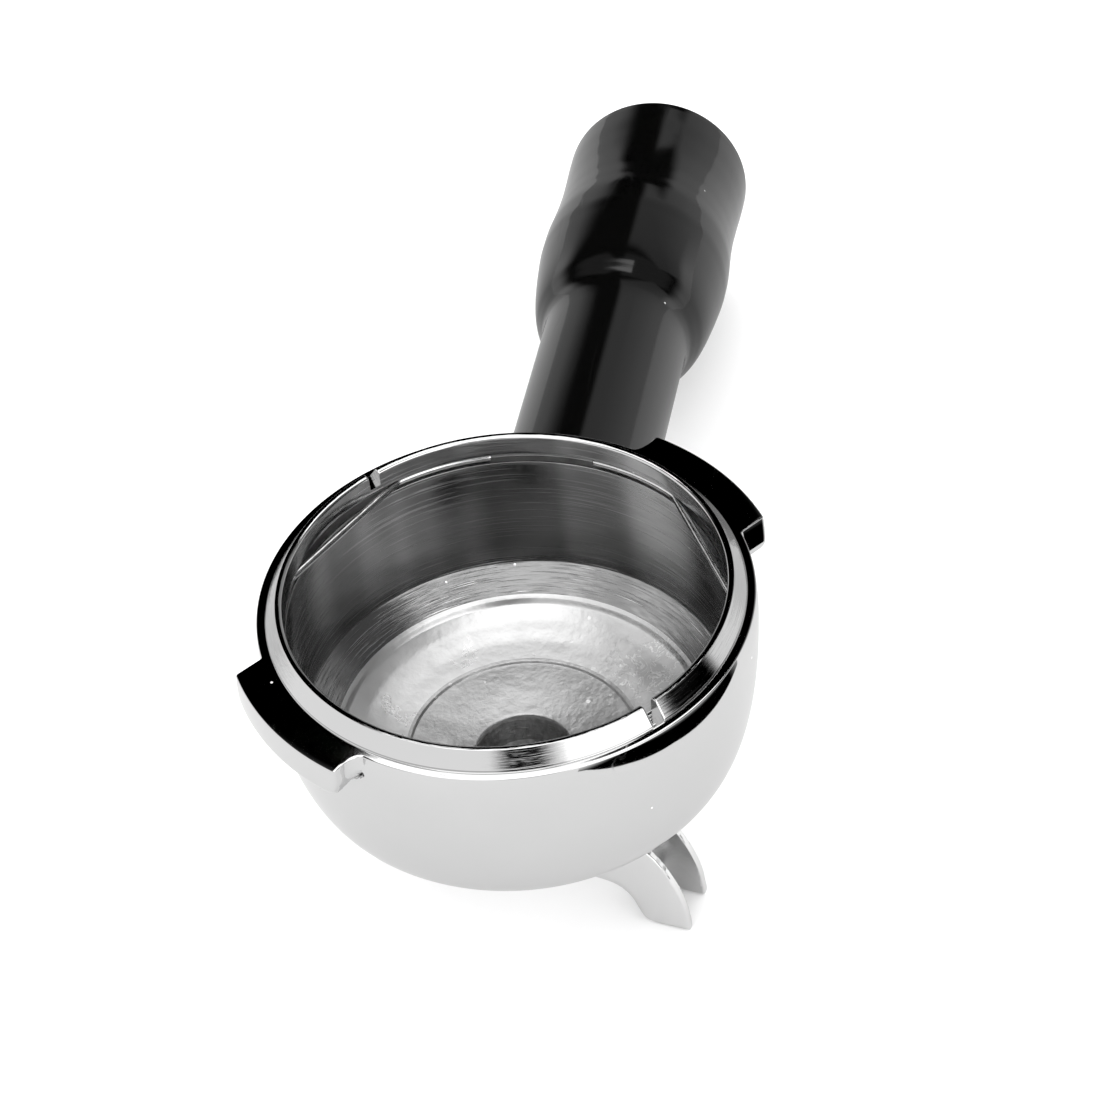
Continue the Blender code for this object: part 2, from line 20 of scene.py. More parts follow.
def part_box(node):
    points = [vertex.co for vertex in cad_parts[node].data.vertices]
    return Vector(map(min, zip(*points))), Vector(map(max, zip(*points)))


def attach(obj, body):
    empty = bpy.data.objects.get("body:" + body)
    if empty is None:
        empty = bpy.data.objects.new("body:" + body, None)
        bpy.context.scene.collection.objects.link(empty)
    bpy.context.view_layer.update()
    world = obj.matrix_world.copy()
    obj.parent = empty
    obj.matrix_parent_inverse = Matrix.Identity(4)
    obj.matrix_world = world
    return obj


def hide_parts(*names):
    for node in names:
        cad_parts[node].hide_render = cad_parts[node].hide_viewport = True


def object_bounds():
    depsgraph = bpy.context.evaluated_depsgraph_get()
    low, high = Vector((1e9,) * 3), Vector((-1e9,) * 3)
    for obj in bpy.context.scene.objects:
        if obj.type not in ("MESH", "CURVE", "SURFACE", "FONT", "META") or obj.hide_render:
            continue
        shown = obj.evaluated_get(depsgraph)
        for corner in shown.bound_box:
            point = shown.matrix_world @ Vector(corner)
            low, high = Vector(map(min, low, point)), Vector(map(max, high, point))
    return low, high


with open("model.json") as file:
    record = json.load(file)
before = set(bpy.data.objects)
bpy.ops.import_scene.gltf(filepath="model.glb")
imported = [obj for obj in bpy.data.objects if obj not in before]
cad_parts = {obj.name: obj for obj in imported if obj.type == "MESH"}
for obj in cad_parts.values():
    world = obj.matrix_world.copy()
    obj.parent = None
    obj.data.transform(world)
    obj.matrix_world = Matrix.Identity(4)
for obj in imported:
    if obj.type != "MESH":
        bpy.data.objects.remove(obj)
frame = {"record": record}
CAD_LOW, CAD_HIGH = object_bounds()
MM = 0.001
TAU = math.tau

# ------------------------------------------------------ places from the frame
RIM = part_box("bowl_body")[1].z / MM
TIP_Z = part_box("spout_body")[0].z / MM - RIM  # the spout's lowest point
GASKET_LOW, GASKET_HIGH = (corner.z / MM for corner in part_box("spout_gasket"))
joints = {joint["name"]: joint for joint in frame["record"]["behaviour"]["joints"]}
GRIP_AXIS = np.array(joints["grip_unscrew"]["axis"], float)
GRIP_AXIS = GRIP_AXIS / np.linalg.norm(GRIP_AXIS)
grip_joint = np.array(joints["grip_unscrew"]["pos_m"], float) / MM
GRIP_ORIGIN = grip_joint - GRIP_AXIS * (grip_joint[1] / GRIP_AXIS[1])  # where y = 0
GRIP_X = np.array((1.0, 0.0, 0.0))
GRIP_UP = np.cross(GRIP_X, GRIP_AXIS)
if GRIP_UP[2] < 0:
    GRIP_UP = -GRIP_UP

# Axes to turn a section about: (origin, x, y, axis).
HANDLE_AXES = (GRIP_ORIGIN, GRIP_X, GRIP_UP, GRIP_AXIS)
UPRIGHT_AXES = (np.zeros(3), *np.eye(3))


# ============================================================ lines and curves
def rounded(points, step=0.6, closed=False):
    """A line through (a, b) or (a, b, corner radius) points, with its corners
    rounded and no segment longer than the step."""
    points = [tuple(point) + (0.0,) * (3 - len(point)) for point in points]
    line = []
    for i, (x, y, radius) in enumerate(points):
        corner = np.array((x, y))
        if (not closed and i in (0, len(points) - 1)) or radius <= 0:
            line.append(corner)
            continue
        before = np.array(points[i - 1][:2]) - corner
        after = np.array(points[(i + 1) % len(points)][:2]) - corner
        before_length, after_length = np.linalg.norm(before), np.linalg.norm(after)
        before, after = before / before_length, after / after_length
        angle = math.acos(max(-1.0, min(1.0, float(before @ after))))
        if angle > math.pi - 1e-3:
            line.append(corner)
            continue
        inset = min(radius / math.tan(angle / 2), 0.48 * before_length, 0.48 * after_length)
        fitted = inset * math.tan(angle / 2)
        middle = (before + after) / np.linalg.norm(before + after)
        centre = corner + middle * (fitted / math.sin(angle / 2))
        start = corner + before * inset - centre
        end = corner + after * inset - centre
        sweep = math.pi - angle
        count = max(2, math.ceil(sweep / math.radians(15)))
        turn = math.copysign(1.0, start[0] * end[1] - start[1] * end[0])
        for k in range(count + 1):
            part = turn * sweep * k / count
            cos, sin = math.cos(part), math.sin(part)
            spoke = (start[0] * cos - start[1] * sin, start[0] * sin + start[1] * cos)
            line.append(centre + spoke)
    dense = []
    for i in range(len(line) if closed else len(line) - 1):
        start, end = line[i], line[(i + 1) % len(line)]
        gap = float(np.linalg.norm(end - start))
        if gap < 1e-6:
            continue
        cuts = max(1, math.ceil(gap / step))
        for k in range(cuts):
            dense.append(start + (end - start) * k / cuts)
    if not closed:
        dense.append(line[-1])
    return np.array(dense)


def hermite(knots, samples):
    """A smooth curve through (radius, height) knots, monotone between them."""
    radii, heights = np.array(knots, float).T
    gaps = np.diff(heights)
    slopes = np.diff(radii) / gaps
    before, after = slopes[:-1], slopes[1:]
    weighted = (2 * gaps[1:] + gaps[:-1]) / np.where(before == 0, 1e-9, before) + (
        gaps[1:] + 2 * gaps[:-1]
    ) / np.where(after == 0, 1e-9, after)
    tangents = np.zeros(len(heights))
    tangents[1:-1] = np.where(before * after > 0, 3 * (gaps[:-1] + gaps[1:]) / weighted, 0.0)
    tangents[0], tangents[-1] = slopes[0], slopes[-1]
    at = np.linspace(heights[0], heights[-1], samples)
    i = np.clip(np.searchsorted(heights, at) - 1, 0, len(gaps) - 1)
    t = (at - heights[i]) / gaps[i]
    curve = (
        radii[i] * (2 * t**3 - 3 * t**2 + 1)
        + tangents[i] * gaps[i] * (t**3 - 2 * t**2 + t)
        + radii[i + 1] * (-2 * t**3 + 3 * t**2)
        + tangents[i + 1] * gaps[i] * (t**3 - t**2)
    )
    return np.stack((curve, at), 1)


def bezier(start, pull_start, pull_end, end, t):
    """Points of a cubic curve at the shares t."""
    start, pull_start, pull_end, end = (
        np.asarray(point, float) for point in (start, pull_start, pull_end, end)
    )
    t = np.asarray(t)[:, None]
    return (
        (1 - t) ** 3 * start
        + 3 * t * (1 - t) ** 2 * pull_start
        + 3 * t * t * (1 - t) * pull_end
        + t**3 * end
    )


def catmull(knots, count):
    """A smooth line through the knots, run on past both ends."""
    knots = [np.array(knot, float) for knot in knots]
    knots = [2 * knots[0] - knots[1]] + knots + [2 * knots[-1] - knots[-2]]
    line = []
    for a, b, c, d in zip(knots, knots[1:], knots[2:], knots[3:]):
        for t in np.linspace(0, 1, count)[:-1]:
            linear = 2 * b + (c - a) * t
            square = (2 * a - 5 * b + 4 * c - d) * t * t
            line.append(0.5 * (linear + square + (3 * b - a - 3 * c + d) * t**3))
    line.append(knots[-2])
    last = line[-1] - line[-2]
    line.append(line[-1] + last / np.linalg.norm(last) * 4.0)
    return np.array([(-6.0, line[0][1])] + [tuple(point) for point in line])


def arc_steps(first, last, count):
    """(cosine, sine) at even steps between two angles, without the first."""
    angles = np.radians(np.linspace(first, last, count)[1:])
    return [(math.cos(angle), math.sin(angle)) for angle in angles]


# ====================================================================== meshes
WELD, DEGENERATE = 2e-6, 1e-7  # metres


def finish_mesh(name, points, faces, materials, slots=None, sharp=35.0, weld=True):
    """An object from points in mm: faces out, smooth, creased above the sharp angle."""
    mesh = bpy.data.meshes.new(name)
    mesh.from_pydata((np.asarray(points, float) * MM).tolist(), [], faces)
    for material in materials:
        mesh.materials.append(material)
    if slots is not None:
        mesh.polygons.foreach_set("material_index", np.asarray(slots, np.int32))
    bm = bmesh.new()
    bm.from_mesh(mesh)
    if weld:
        bmesh.ops.remove_doubles(bm, verts=bm.verts, dist=WELD)
        bmesh.ops.dissolve_degenerate(bm, edges=bm.edges, dist=DEGENERATE)
    if bm.calc_volume(signed=True) < 0:
        bmesh.ops.reverse_faces(bm, faces=bm.faces)
    bm.to_mesh(mesh)
    bm.free()
    mesh.shade_smooth()
    if sharp is not None:
        mesh.set_sharp_from_angle(angle=math.radians(sharp))
    return link_object(name, mesh)


def link_object(name, data):
    obj = bpy.data.objects.new(name, data)
    bpy.context.scene.collection.objects.link(obj)
    return obj


def grid_faces(rows, columns, wrap_rows=False):
    """Quads between rings of points; the columns always wrap round."""
    i = np.arange(rows if wrap_rows else rows - 1)
    a, b = np.meshgrid(i, np.arange(columns), indexing="ij")
    a_next, b_next = (a + 1) % rows, (b + 1) % columns
    corners = ((a, b), (a, b_next), (a_next, b_next), (a_next, b))
    quads = np.stack([row * columns + column for row, column in corners], -1)
    return quads.reshape(-1, 4).tolist()


def capped(name, rings, tips, materials, **options):
    """A skin over rings of points, closed at each end by a fan to its tip."""
    sides = len(rings[0])
    total = len(rings) * sides
    last = total - sides
    faces = grid_faces(len(rings), sides)
    for j in range(sides):
        k = (j + 1) % sides
        faces.append([total, k, j])
        faces.append([total + 1, last + j, last + k])
    return finish_mesh(name, np.vstack((*rings, *tips)), faces, materials, **options)


def turned(name, section, steps, material, axes, radial=None, closed=True, **options):
    """A section of (radius, height) turned about an axis. A closed section
    makes a ring; an open one starts and ends on the axis. radial(radius,
    height, angle) may move the radius."""
    origin, x, y, axis = axes
    section = np.asarray(section, float)
    body = section if closed else section[1:-1]
    radius = np.repeat(body[:, :1], steps, 1)
    height = np.repeat(body[:, 1:2], steps, 1)
    angle = np.repeat((np.arange(steps) * TAU / steps)[None, :], len(body), 0)
    if radial is not None:
        radius = radial(radius, height, angle)
    points = (
        origin
        + radius[..., None] * (np.cos(angle)[..., None] * x + np.sin(angle)[..., None] * y)
        + height[..., None] * axis
    )
    if closed:
        faces = grid_faces(len(body), steps, wrap_rows=True)
        return finish_mesh(name, points.reshape(-1, 3), faces, [material], **options)
    tips = [origin + axis * section[i, 1] for i in (0, -1)]
    return capped(name, points, tips, [material], **options)


# =============================================================== distance tools
def line_distance(points, line, closed=False):
    """Distance from points to a line, with the side of the nearest part."""
    best = np.full(len(points), 1e9)
    side = np.zeros(len(points))
    pairs = list(zip(line[:-1], line[1:]))
    if closed:
        pairs.append((line[-1], line[0]))
    for start, end in pairs:
        along = end - start
        square = float(along @ along)
        if square < 1e-14:
            continue
        t = np.clip(((points - start) @ along) / square, 0, 1)
        offset = points - start - t[:, None] * along
        distance = np.einsum("ij,ij->i", offset, offset)
        cross = along[0] * (points[:, 1] - start[1]) - along[1] * (points[:, 0] - start[0])
        cross = cross / math.sqrt(square)
        better = distance < best - 1e-12
        tie = np.abs(distance - best) <= 1e-12
        clearer = tie & (np.abs(cross) > np.abs(side))
        side = np.where(better, cross, np.where(clearer, cross, side))
        best = np.minimum(best, distance)
    return np.sqrt(best), side


def polygon_distance(points, line):
    """Signed distance to a closed outline, negative inside."""
    distance, _ = line_distance(points, line, closed=True)
    inside = np.zeros(len(points), bool)
    for start, end in zip(line, np.roll(line, -1, 0)):
        spans = (start[1] > points[:, 1]) != (end[1] > points[:, 1])
        with np.errstate(divide="ignore", invalid="ignore"):
            x = (end[0] - start[0]) * (points[:, 1] - start[1]) / (end[1] - start[1]) + start[0]
        inside ^= spans & (points[:, 0] < x)
    return np.where(inside, -distance, distance)


def gradient(field, points, reach=0.01):
    slope = np.zeros_like(points)
    for k in range(3):
        offset = np.zeros(3)
        offset[k] = reach
        slope[:, k] = (field(points + offset) - field(points - offset)) / (2 * reach)
    length = np.linalg.norm(slope, axis=1, keepdims=True)
    return slope / np.maximum(length, 1e-9)


def onto(field, points, level):
    """Points moved to where the field has the given level."""
    for _ in range(4):
        points = points - gradient(field, points) * (field(points) - level)[:, None]
    return points


def soft_max(a, b, blend):
    share = np.clip(0.5 + 0.5 * (a - b) / blend, 0, 1)
    return b + (a - b) * share + blend * share * (1 - share)


def soft_min(a, b, blend):
    return -soft_max(-a, -b, blend)


# ================================================================== node tools
def rgba(value):
    """A grey or an RGB tuple as RGBA; a socket passes through."""
    if isinstance(value, (int, float)):
        return (value, value, value, 1.0)
    if isinstance(value, tuple) and len(value) == 3:
        return (*value, 1.0)
    return value


class Nodes:
    """Short helpers for building a node network."""

    def __init__(self, tree, space):
        self.tree = tree
        self.space = space

    def node(self, kind, **properties):
        node = self.tree.nodes.new(kind)
        for key, value in properties.items():
            setattr(node, key, value)
        return node

    def put(self, socket, value):
        """Links a socket or sets a plain value."""
        if hasattr(value, "links"):
            self.tree.links.new(value, socket)
        else:
            socket.default_value = value

    def put_all(self, sockets, *values):
        for socket, value in zip(sockets, values):
            self.put(socket, value)

    @cached_property
    def place(self):
        return self.node("ShaderNodeTexCoord").outputs[self.space]

    def math(self, operation, a, b=0.0, clamp=False):
        node = self.node("ShaderNodeMath", operation=operation, use_clamp=clamp)
        self.put_all(node.inputs, a, b, 0.0)
        return node.outputs[0]

    def times(self, a, b):
        return self.math("MULTIPLY", a, b)

    def minus(self, a, b):
        return self.math("SUBTRACT", a, b)

    def less(self, a, b):
        return self.math("LESS_THAN", a, b)

    def largest(self, a, b):
        return self.math("MAXIMUM", a, b)

    def without(self, value, mask):
        return self.times(value, self.minus(1.0, mask))

    def total(self, *terms):
        """The sum of the terms, each a value or a (value, weight) pair."""
        parts = [self.times(*term) if isinstance(term, tuple) else term for term in terms]
        result = parts[0]
        for part in parts[1:]:
            result = self.math("ADD", result, part)
        return result

    def vector(self, operation, a, b=None):
        node = self.node("ShaderNodeVectorMath", operation=operation)
        self.put(node.inputs[0], a)
        if b is not None:
            self.put(node.inputs[1], b)
        return node.outputs

    def split(self, vector):
        node = self.node("ShaderNodeSeparateXYZ")
        self.put(node.inputs[0], vector)
        return node.outputs

    def join(self, x, y, z):
        node = self.node("ShaderNodeCombineXYZ")
        self.put_all(node.inputs, x, y, z)
        return node.outputs[0]

    def noise(self, vector, scale, detail=2.0, rough=0.5, warp=0.0):
        node = self.node("ShaderNodeTexNoise")
        self.put(node.inputs["Vector"], vector)
        node.inputs["Scale"].default_value = scale
        node.inputs["Detail"].default_value = detail
        node.inputs["Roughness"].default_value = rough
        node.inputs["Distortion"].default_value = warp
        return node.outputs["Fac"]

    def span(self, value, between, to=(0.0, 1.0), smooth=False):
        """Maps one range to another, held at its ends."""
        node = self.node("ShaderNodeMapRange", clamp=True)
        if smooth:
            node.interpolation_type = "SMOOTHSTEP"
        self.put_all(node.inputs, value, *between, *to)
        return node.outputs[0]

    def rise(self, value, centre, soft):
        return self.span(value, (centre - soft, centre + soft), smooth=True)

    def fall(self, value, centre, soft):
        return self.span(value, (centre - soft, centre + soft), (1.0, 0.0), smooth=True)

    def window(self, value, first, last, soft):
        """1 between two values, with soft sides."""
        return self.times(self.rise(value, first, soft), self.fall(value, last, soft))

    def mix(self, share, a, b):
        node = self.node("ShaderNodeMix", data_type="RGBA")
        self.put(node.inputs[0], share)
        self.put_all(node.inputs[6:8], rgba(a), rgba(b))
        return node.outputs[2]

    def bump(self, height, distance):
        node = self.node("ShaderNodeBump")
        node.inputs["Strength"].default_value = 1.0
        node.inputs["Distance"].default_value = distance
        self.put(node.inputs["Height"], height)
        return node.outputs[0]

    def cylinder(self):
        """(cosine, sine, radius, height) of the object point about the Z axis."""
        x, y, z = self.split(self.place)
        flat = self.join(x, y, 0.0)
        cos, sin, _ = self.split(self.vector("NORMALIZE", flat)["Vector"])
        return cos, sin, self.vector("LENGTH", flat)["Value"], z

    def around(self, cos, sin, arc, across):
        """Texture space for rings: arc sets how quickly they change round Z."""
        return self.join(self.times(cos, arc), self.times(sin, arc), across)

    def dots(self, density, size, share):
        """A mask of tiny specks: a share of the voronoi cells, each with a dot."""
        node = self.node("ShaderNodeTexVoronoi")
        self.put(node.inputs["Vector"], self.place)
        node.inputs["Scale"].default_value = density
        pick = self.split(node.outputs["Color"])[0]
        return self.times(self.less(node.outputs["Distance"], size), self.less(pick, share))

    def middle_lines(self, noise, width):
        """Thin lines where a noise is close to its middle value."""
        return self.less(self.math("ABSOLUTE", self.minus(noise, 0.5)), width)

    def hairlines(self, scale, width, turn, patch_scale, patch_range):
        """Fine scratches from stretched noise, kept to a few patches."""
        mapping = self.node("ShaderNodeMapping")
        self.put(mapping.inputs["Vector"], self.place)
        mapping.inputs["Rotation"].default_value = (turn, turn * 1.7, turn * 0.6)
        mapping.inputs["Scale"].default_value = (1.0, 0.05, 1.0)
        stretched = self.noise(mapping.outputs[0], scale=scale, warp=0.2)
        lines = self.middle_lines(stretched, width)
        return self.times(lines, self.span(self.noise(self.place, patch_scale), patch_range))


class Surface(Nodes):
    """A material around its principled shader."""

    INPUTS = {
        "color": "Base Color",
        "rough": "Roughness",
        "metal": "Metallic",
        "normal": "Normal",
        "spec": "Specular IOR Level",
        "ior": "IOR",
    }

    def __init__(self, name):
        self.material = bpy.data.materials.new(name)
        self.material.use_nodes = True
        super().__init__(self.material.node_tree, "Object")
        self.bsdf = self.tree.nodes["Principled BSDF"]

    def finish(self, color, **values):
        for key, value in {"color": rgba(color), **values}.items():
            self.put(self.bsdf.inputs[self.INPUTS[key]], value)
        return self.material


# ================================================================== materials
def polished(name, base=0.62, rough=0.035, rings=0.0):
    """Bright chrome plate: faint waves, hairlines, dust specks."""
    m = Surface(name)
    speck = m.dots(density=520.0, size=0.10, share=0.035)
    hair = m.hairlines(
        scale=220.0, width=0.012, turn=0.6, patch_scale=90.0, patch_range=(0.5, 0.62)
    )
    wave = m.noise(m.place, scale=45.0, detail=1.0, rough=0.4)
    fine = m.noise(m.place, scale=900.0)
    cloud = m.noise(m.place, scale=60.0, detail=3.0, rough=0.6)
    tint = m.mix(cloud, base * 0.97, base * 1.02)
    tint = m.mix(speck, tint, 0.85)
    dull = m.span(cloud, between=(0.3, 0.75), to=(rough * 0.8, rough * 1.5))
    dull = m.total(dull, (hair, 0.06))
    dull = m.math("ADD", dull, m.times(speck, 0.6), clamp=True)
    height = m.total((wave, 1.0), (fine, 0.004))
    if rings:
        cos, sin, radius, z = m.cylinder()
        across = m.times(m.total(radius, (z, -1.0)), 2600.0)
        ring = m.noise(m.around(cos, sin, 3.0, across), scale=1.0, detail=3.0, rough=0.6)
        height = m.total(height, (ring, rings))
    return m.finish(
        color=tint,
        rough=dull,
        metal=m.minus(1.0, m.times(speck, 0.9)),
        normal=m.bump(height, distance=0.00006),
    )


def lathe(name, base, rough, pitch, depth, arc, blotch, slope=0.0, tear=0.0, reflection_bands=0.0):
    """Turned metal under chrome: fine rings of uneven depth and length.

    rough is a (low, high) range; pitch and depth are in metres. blotch darkens
    patches and the last argument darkens soft upright bands, slope lets the rings
    follow the radius too, and tear makes single rings stronger and brighter. The
    upright bands are painted reflection: light and dark streaks put into the
    colour.
    """
    m = Surface(name)
    cos, sin, radius, z = m.cylinder()
    along = m.total(z, (radius, slope))
    space = m.around(cos, sin, arc, m.times(along, 1.0 / pitch))
    rings = m.noise(space, scale=1.0, detail=3.0, rough=0.65)
    coarse = m.around(cos, sin, arc * 3.0, m.times(along, 0.28 / pitch))
    wide = m.noise(coarse, scale=1.0)
    lines = m.span(m.noise(space, scale=1.0, detail=0.0), between=(0.62, 0.74))
    cloud = m.noise(m.place, scale=70.0, detail=3.0, rough=0.6)
    height = m.total(rings, (wide, 0.8), (lines, 0.6 + tear))
    patches = m.span(m.total((wide, 0.6), (cloud, 0.4)), between=(0.35, 0.65))
    tint = m.mix(patches, base * (1.0 - blotch), base * (1.0 + blotch * 0.4))
    if reflection_bands:  # painted reflection: soft upright dark bands darkened into the colour
        reflection_band = m.noise(m.around(cos, sin, 3.1, 4.7), scale=1.0, detail=1.0)
        reflection_band = m.span(reflection_band, between=(0.36, 0.64), smooth=True)
        tint = m.mix(reflection_band, base * (1.0 - reflection_bands), tint)
    tint = m.mix(m.times(lines, tear * 0.45), tint, 0.9)
    tint = m.mix(m.dots(density=700.0, size=0.12, share=0.02), tint, 0.9)
    return m.finish(
        color=tint,
        rough=m.span(rings, between=(0.3, 0.7), to=rough),
        metal=1.0,
        normal=m.bump(height, depth),
    )


def satin(name, base, rough, grain, depth, pits, mottle=0.12, marks=None):
    """Cast or blasted metal under chrome. pits is the share of pitted cells;
    marks is the centre of a patch of thin bright worn lines."""
    m = Surface(name)
    fine = m.noise(m.place, scale=grain, detail=3.0, rough=0.6)
    coarse = m.noise(m.place, scale=grain * 0.28)
    cloud = m.noise(m.place, scale=130.0, detail=4.0, rough=0.65, warp=0.6)
    pit = m.dots(density=620.0, size=0.22, share=pits)
    height = m.total((fine, 0.5), (coarse, 1.0), (pit, 1.2))
    if marks:
        wiggle = m.noise(m.place, scale=330.0, detail=3.0, rough=0.7, warp=1.4)
        line = m.middle_lines(wiggle, width=0.022)
        distance = m.vector("DISTANCE", m.place, marks)["Value"]
        line = m.times(line, m.span(distance, between=(0.0045, 0.0075), to=(1.0, 0.0)))
        height = m.total(height, (line, 1.6))
    light, dark = base * (1.0 + mottle * 0.5), base * (1.0 - mottle)
    tint = m.mix(m.span(cloud, between=(0.35, 0.68)), dark, light)
    tint = m.mix(m.times(pit, 0.7), tint, 0.92)
    if marks:
        tint = m.mix(m.times(line, 0.9), tint, 1.0)
    return m.finish(
        color=tint,
        rough=m.span(cloud, between=(0.3, 0.7), to=(rough * 0.85, rough * 1.25)),
        metal=1.0,
        normal=m.bump(height, depth),
    )


def spring_finish():
    """Drawn wire: fine lines round the bowl's axis."""
    m = Surface("spring_wire")
    z = m.split(m.place)[2]
    cos, sin, radius, _ = m.cylinder()
    space = m.around(cos, sin, 12.0, m.times(m.total(z, radius), 4200.0))
    draw = m.noise(space, scale=1.0, rough=0.6)
    cloud = m.noise(m.place, scale=260.0, detail=3.0, rough=0.6)
    return m.finish(
        color=m.mix(m.span(cloud, between=(0.35, 0.7)), 0.6, 0.7),
        rough=m.span(draw, between=(0.3, 0.7), to=(0.14, 0.26)),
        metal=1.0,
        normal=m.bump(m.total(draw, (cloud, 0.6)), distance=0.000012),
    )


def plastic(name, base, rough, wave):
    """Glossy phenolic moulding: deep black, polished by hand and a cloth."""
    m = Surface(name)
    speck = m.dots(density=330.0, size=0.07, share=0.02)
    hair = m.hairlines(
        scale=160.0, width=0.010, turn=1.1, patch_scale=60.0, patch_range=(0.52, 0.62)
    )
    cloud = m.noise(m.place, scale=40.0, detail=3.0, rough=0.6)
    wear = m.noise(m.place, scale=18.0)
    fine = m.noise(m.place, scale=1500.0)
    tint = m.mix(cloud, base * 0.8, base * 1.35)
    tint = m.mix(speck, tint, 0.35)
    dull = m.span(wear, between=(0.3, 0.7), to=(rough * 0.8, rough * 1.35))
    height = m.total((cloud, wave), (fine, 0.02), (hair, -0.03))
    return m.finish(
        color=tint,
        rough=m.total(dull, (hair, 0.10)),
        metal=0.0,
        normal=m.bump(height, distance=0.00005),
        spec=0.5,
        ior=1.52,
    )


def plain_metal(name, dark, light, rough):
    m = Surface(name)
    cloud = m.noise(m.place, scale=180.0, detail=3.0, rough=0.6)
    fine = m.noise(m.place, scale=600.0, detail=3.0, rough=0.6)
    return m.finish(
        color=m.mix(m.span(cloud, between=(0.35, 0.68)), dark, light),
        rough=m.span(fine, between=(0.3, 0.7), to=(rough * 0.75, rough * 1.3)),
        metal=1.0,
        normal=m.bump(fine, distance=0.00001),
    )


def fibre_finish():
    m = Surface("gasket_fibre")
    cloud = m.noise(m.place, scale=300.0, detail=4.0, rough=0.7)
    fibres = m.noise(m.place, scale=2200.0, detail=3.0, rough=0.7, warp=1.5)
    return m.finish(
        color=m.mix(cloud, (0.62, 0.60, 0.56), (0.80, 0.78, 0.73)),
        rough=m.span(fibres, between=(0.3, 0.7), to=(0.6, 0.85)),
        metal=0.0,
        normal=m.bump(fibres, distance=0.00003),
    )


chrome_outer = polished("chrome_outer")
chrome_rim = polished("chrome_rim", rough=0.05, rings=0.5)
# wall_turned and band_turned carry painted reflection: upright dark bands in their colour.
wall_turned = lathe(
    "wall_turned", base=0.48, rough=(0.07, 0.17), pitch=0.00018, depth=0.000008,
    arc=2.0, blotch=0.1, tear=0.6, reflection_bands=0.42,
)
band_turned = lathe(
    "band_turned", base=0.37, rough=(0.11, 0.22), pitch=0.00022, depth=0.00003,
    arc=3.0, blotch=0.35, slope=1.0, tear=1.2, reflection_bands=0.3,
)
floor_satin = satin(
    "floor_satin", base=0.70, rough=0.30, grain=1500.0, depth=0.00004, pits=0.01,
    mottle=0.05, marks=(0.0164, 0.0150, (RIM - 31.2) * MM),
)
floor_cast = satin(
    "floor_cast", base=0.53, rough=0.34, grain=1100.0, depth=0.00011, pits=0.06, mottle=0.22
)
bore_turned = lathe(
    "bore_turned", base=0.6, rough=(0.3, 0.45), pitch=0.0004, depth=0.00003, arc=3.0, blotch=0.3
)
groove_dark = lathe(
    "groove_dark", base=0.42, rough=(0.35, 0.5), pitch=0.0003, depth=0.00002, arc=3.0, blotch=0.2
)
# The spout's chrome is a brighter copy of chrome_outer. This is painted light standing in for the
# bright floor the spout would mirror.
chrome_spout_brightened = polished("chrome_spout_brightened", base=0.88, rough=0.04)
channel_satin = satin(
    "channel_satin", base=0.74, rough=0.2, grain=1300.0, depth=0.00003, pits=0.01
)
wire_steel = spring_finish()
grip_black = plastic("grip_black", base=0.0014, rough=0.08, wave=0.15)
plug_black = plastic("plug_black", base=0.002, rough=0.14, wave=0.3)
brass = plain_metal("insert_brass", dark=(0.62, 0.45, 0.2), light=(0.76, 0.58, 0.3), rough=0.25)
zinc = plain_metal("zinc_plate", dark=(0.52, 0.53, 0.55), light=(0.66, 0.66, 0.66), rough=0.28)
fibre = fibre_finish()

# ======================================================================= bowl
MOUTH_R, MOUTH_ROLL, MOUTH_ROLL_Z = 30.8, 0.65, 0.35  # the worn edge inside the rim
RIM_FLAT_R, NECK_R, CHAMFER_Z, FLANGE_Z = 31.75, 33.4, -2.1, -2.47
FLANGE_START_R = NECK_R + 0.3
BOWL_R, SHOULDER, LUG_SHOULDER = 34.95, 0.14, 0.16
SIDE_Z, SIDE_LOW_Z, SIDE_LOW_R, SIDE_POWER, SIDE_END = -4.5, -30.0, 28.8, 2.3, 0.95
BASE_R, BASE_Z, SEAT_R, SEAT_Z = 17.0, -36.0, 12.5, -37.6
# The threaded outlet under the seat.
NIPPLE_R, NIPPLE_Z, NIPPLE_BORE_R = 8.33, -46.2, 5.9
NIPPLE_PITCH, NIPPLE_THREAD, NIPPLE_THREAD_FADE = 1.337, 0.62, 0.9
THREAD_TOP = SEAT_Z - 0.8
# Two notches across the rim: azimuths, half width, floor height and bevel.
NOTCHES, NOTCH_HALF, NOTCH_Z, NOTCH_BEVEL = (137.5, -43.3), 0.9, -2.4, 0.12
NOTCH_LINE_R = 32.0  # radius where the notch mesh lines are spaced
# Two lugs, as azimuths: first end, hollow end, foot of the hollow.
LUGS = ((-151.7, -115.7, -112.9), (28.3, 64.3, 67.1))
LUG_R, LUG_DEEP, LUG_SHALLOW, NO_LUG_Z = 39.0, -8.4, -7.9, -7.6
LUG_EDGE, LUG_HOLLOW = 1.5, 0.6  # radii of its lower edge and of the fillet beneath
LUG_END_SPAN, LUG_END_LIFT = 3.4, 1.9  # the hollow end's lower corner, degrees and mm

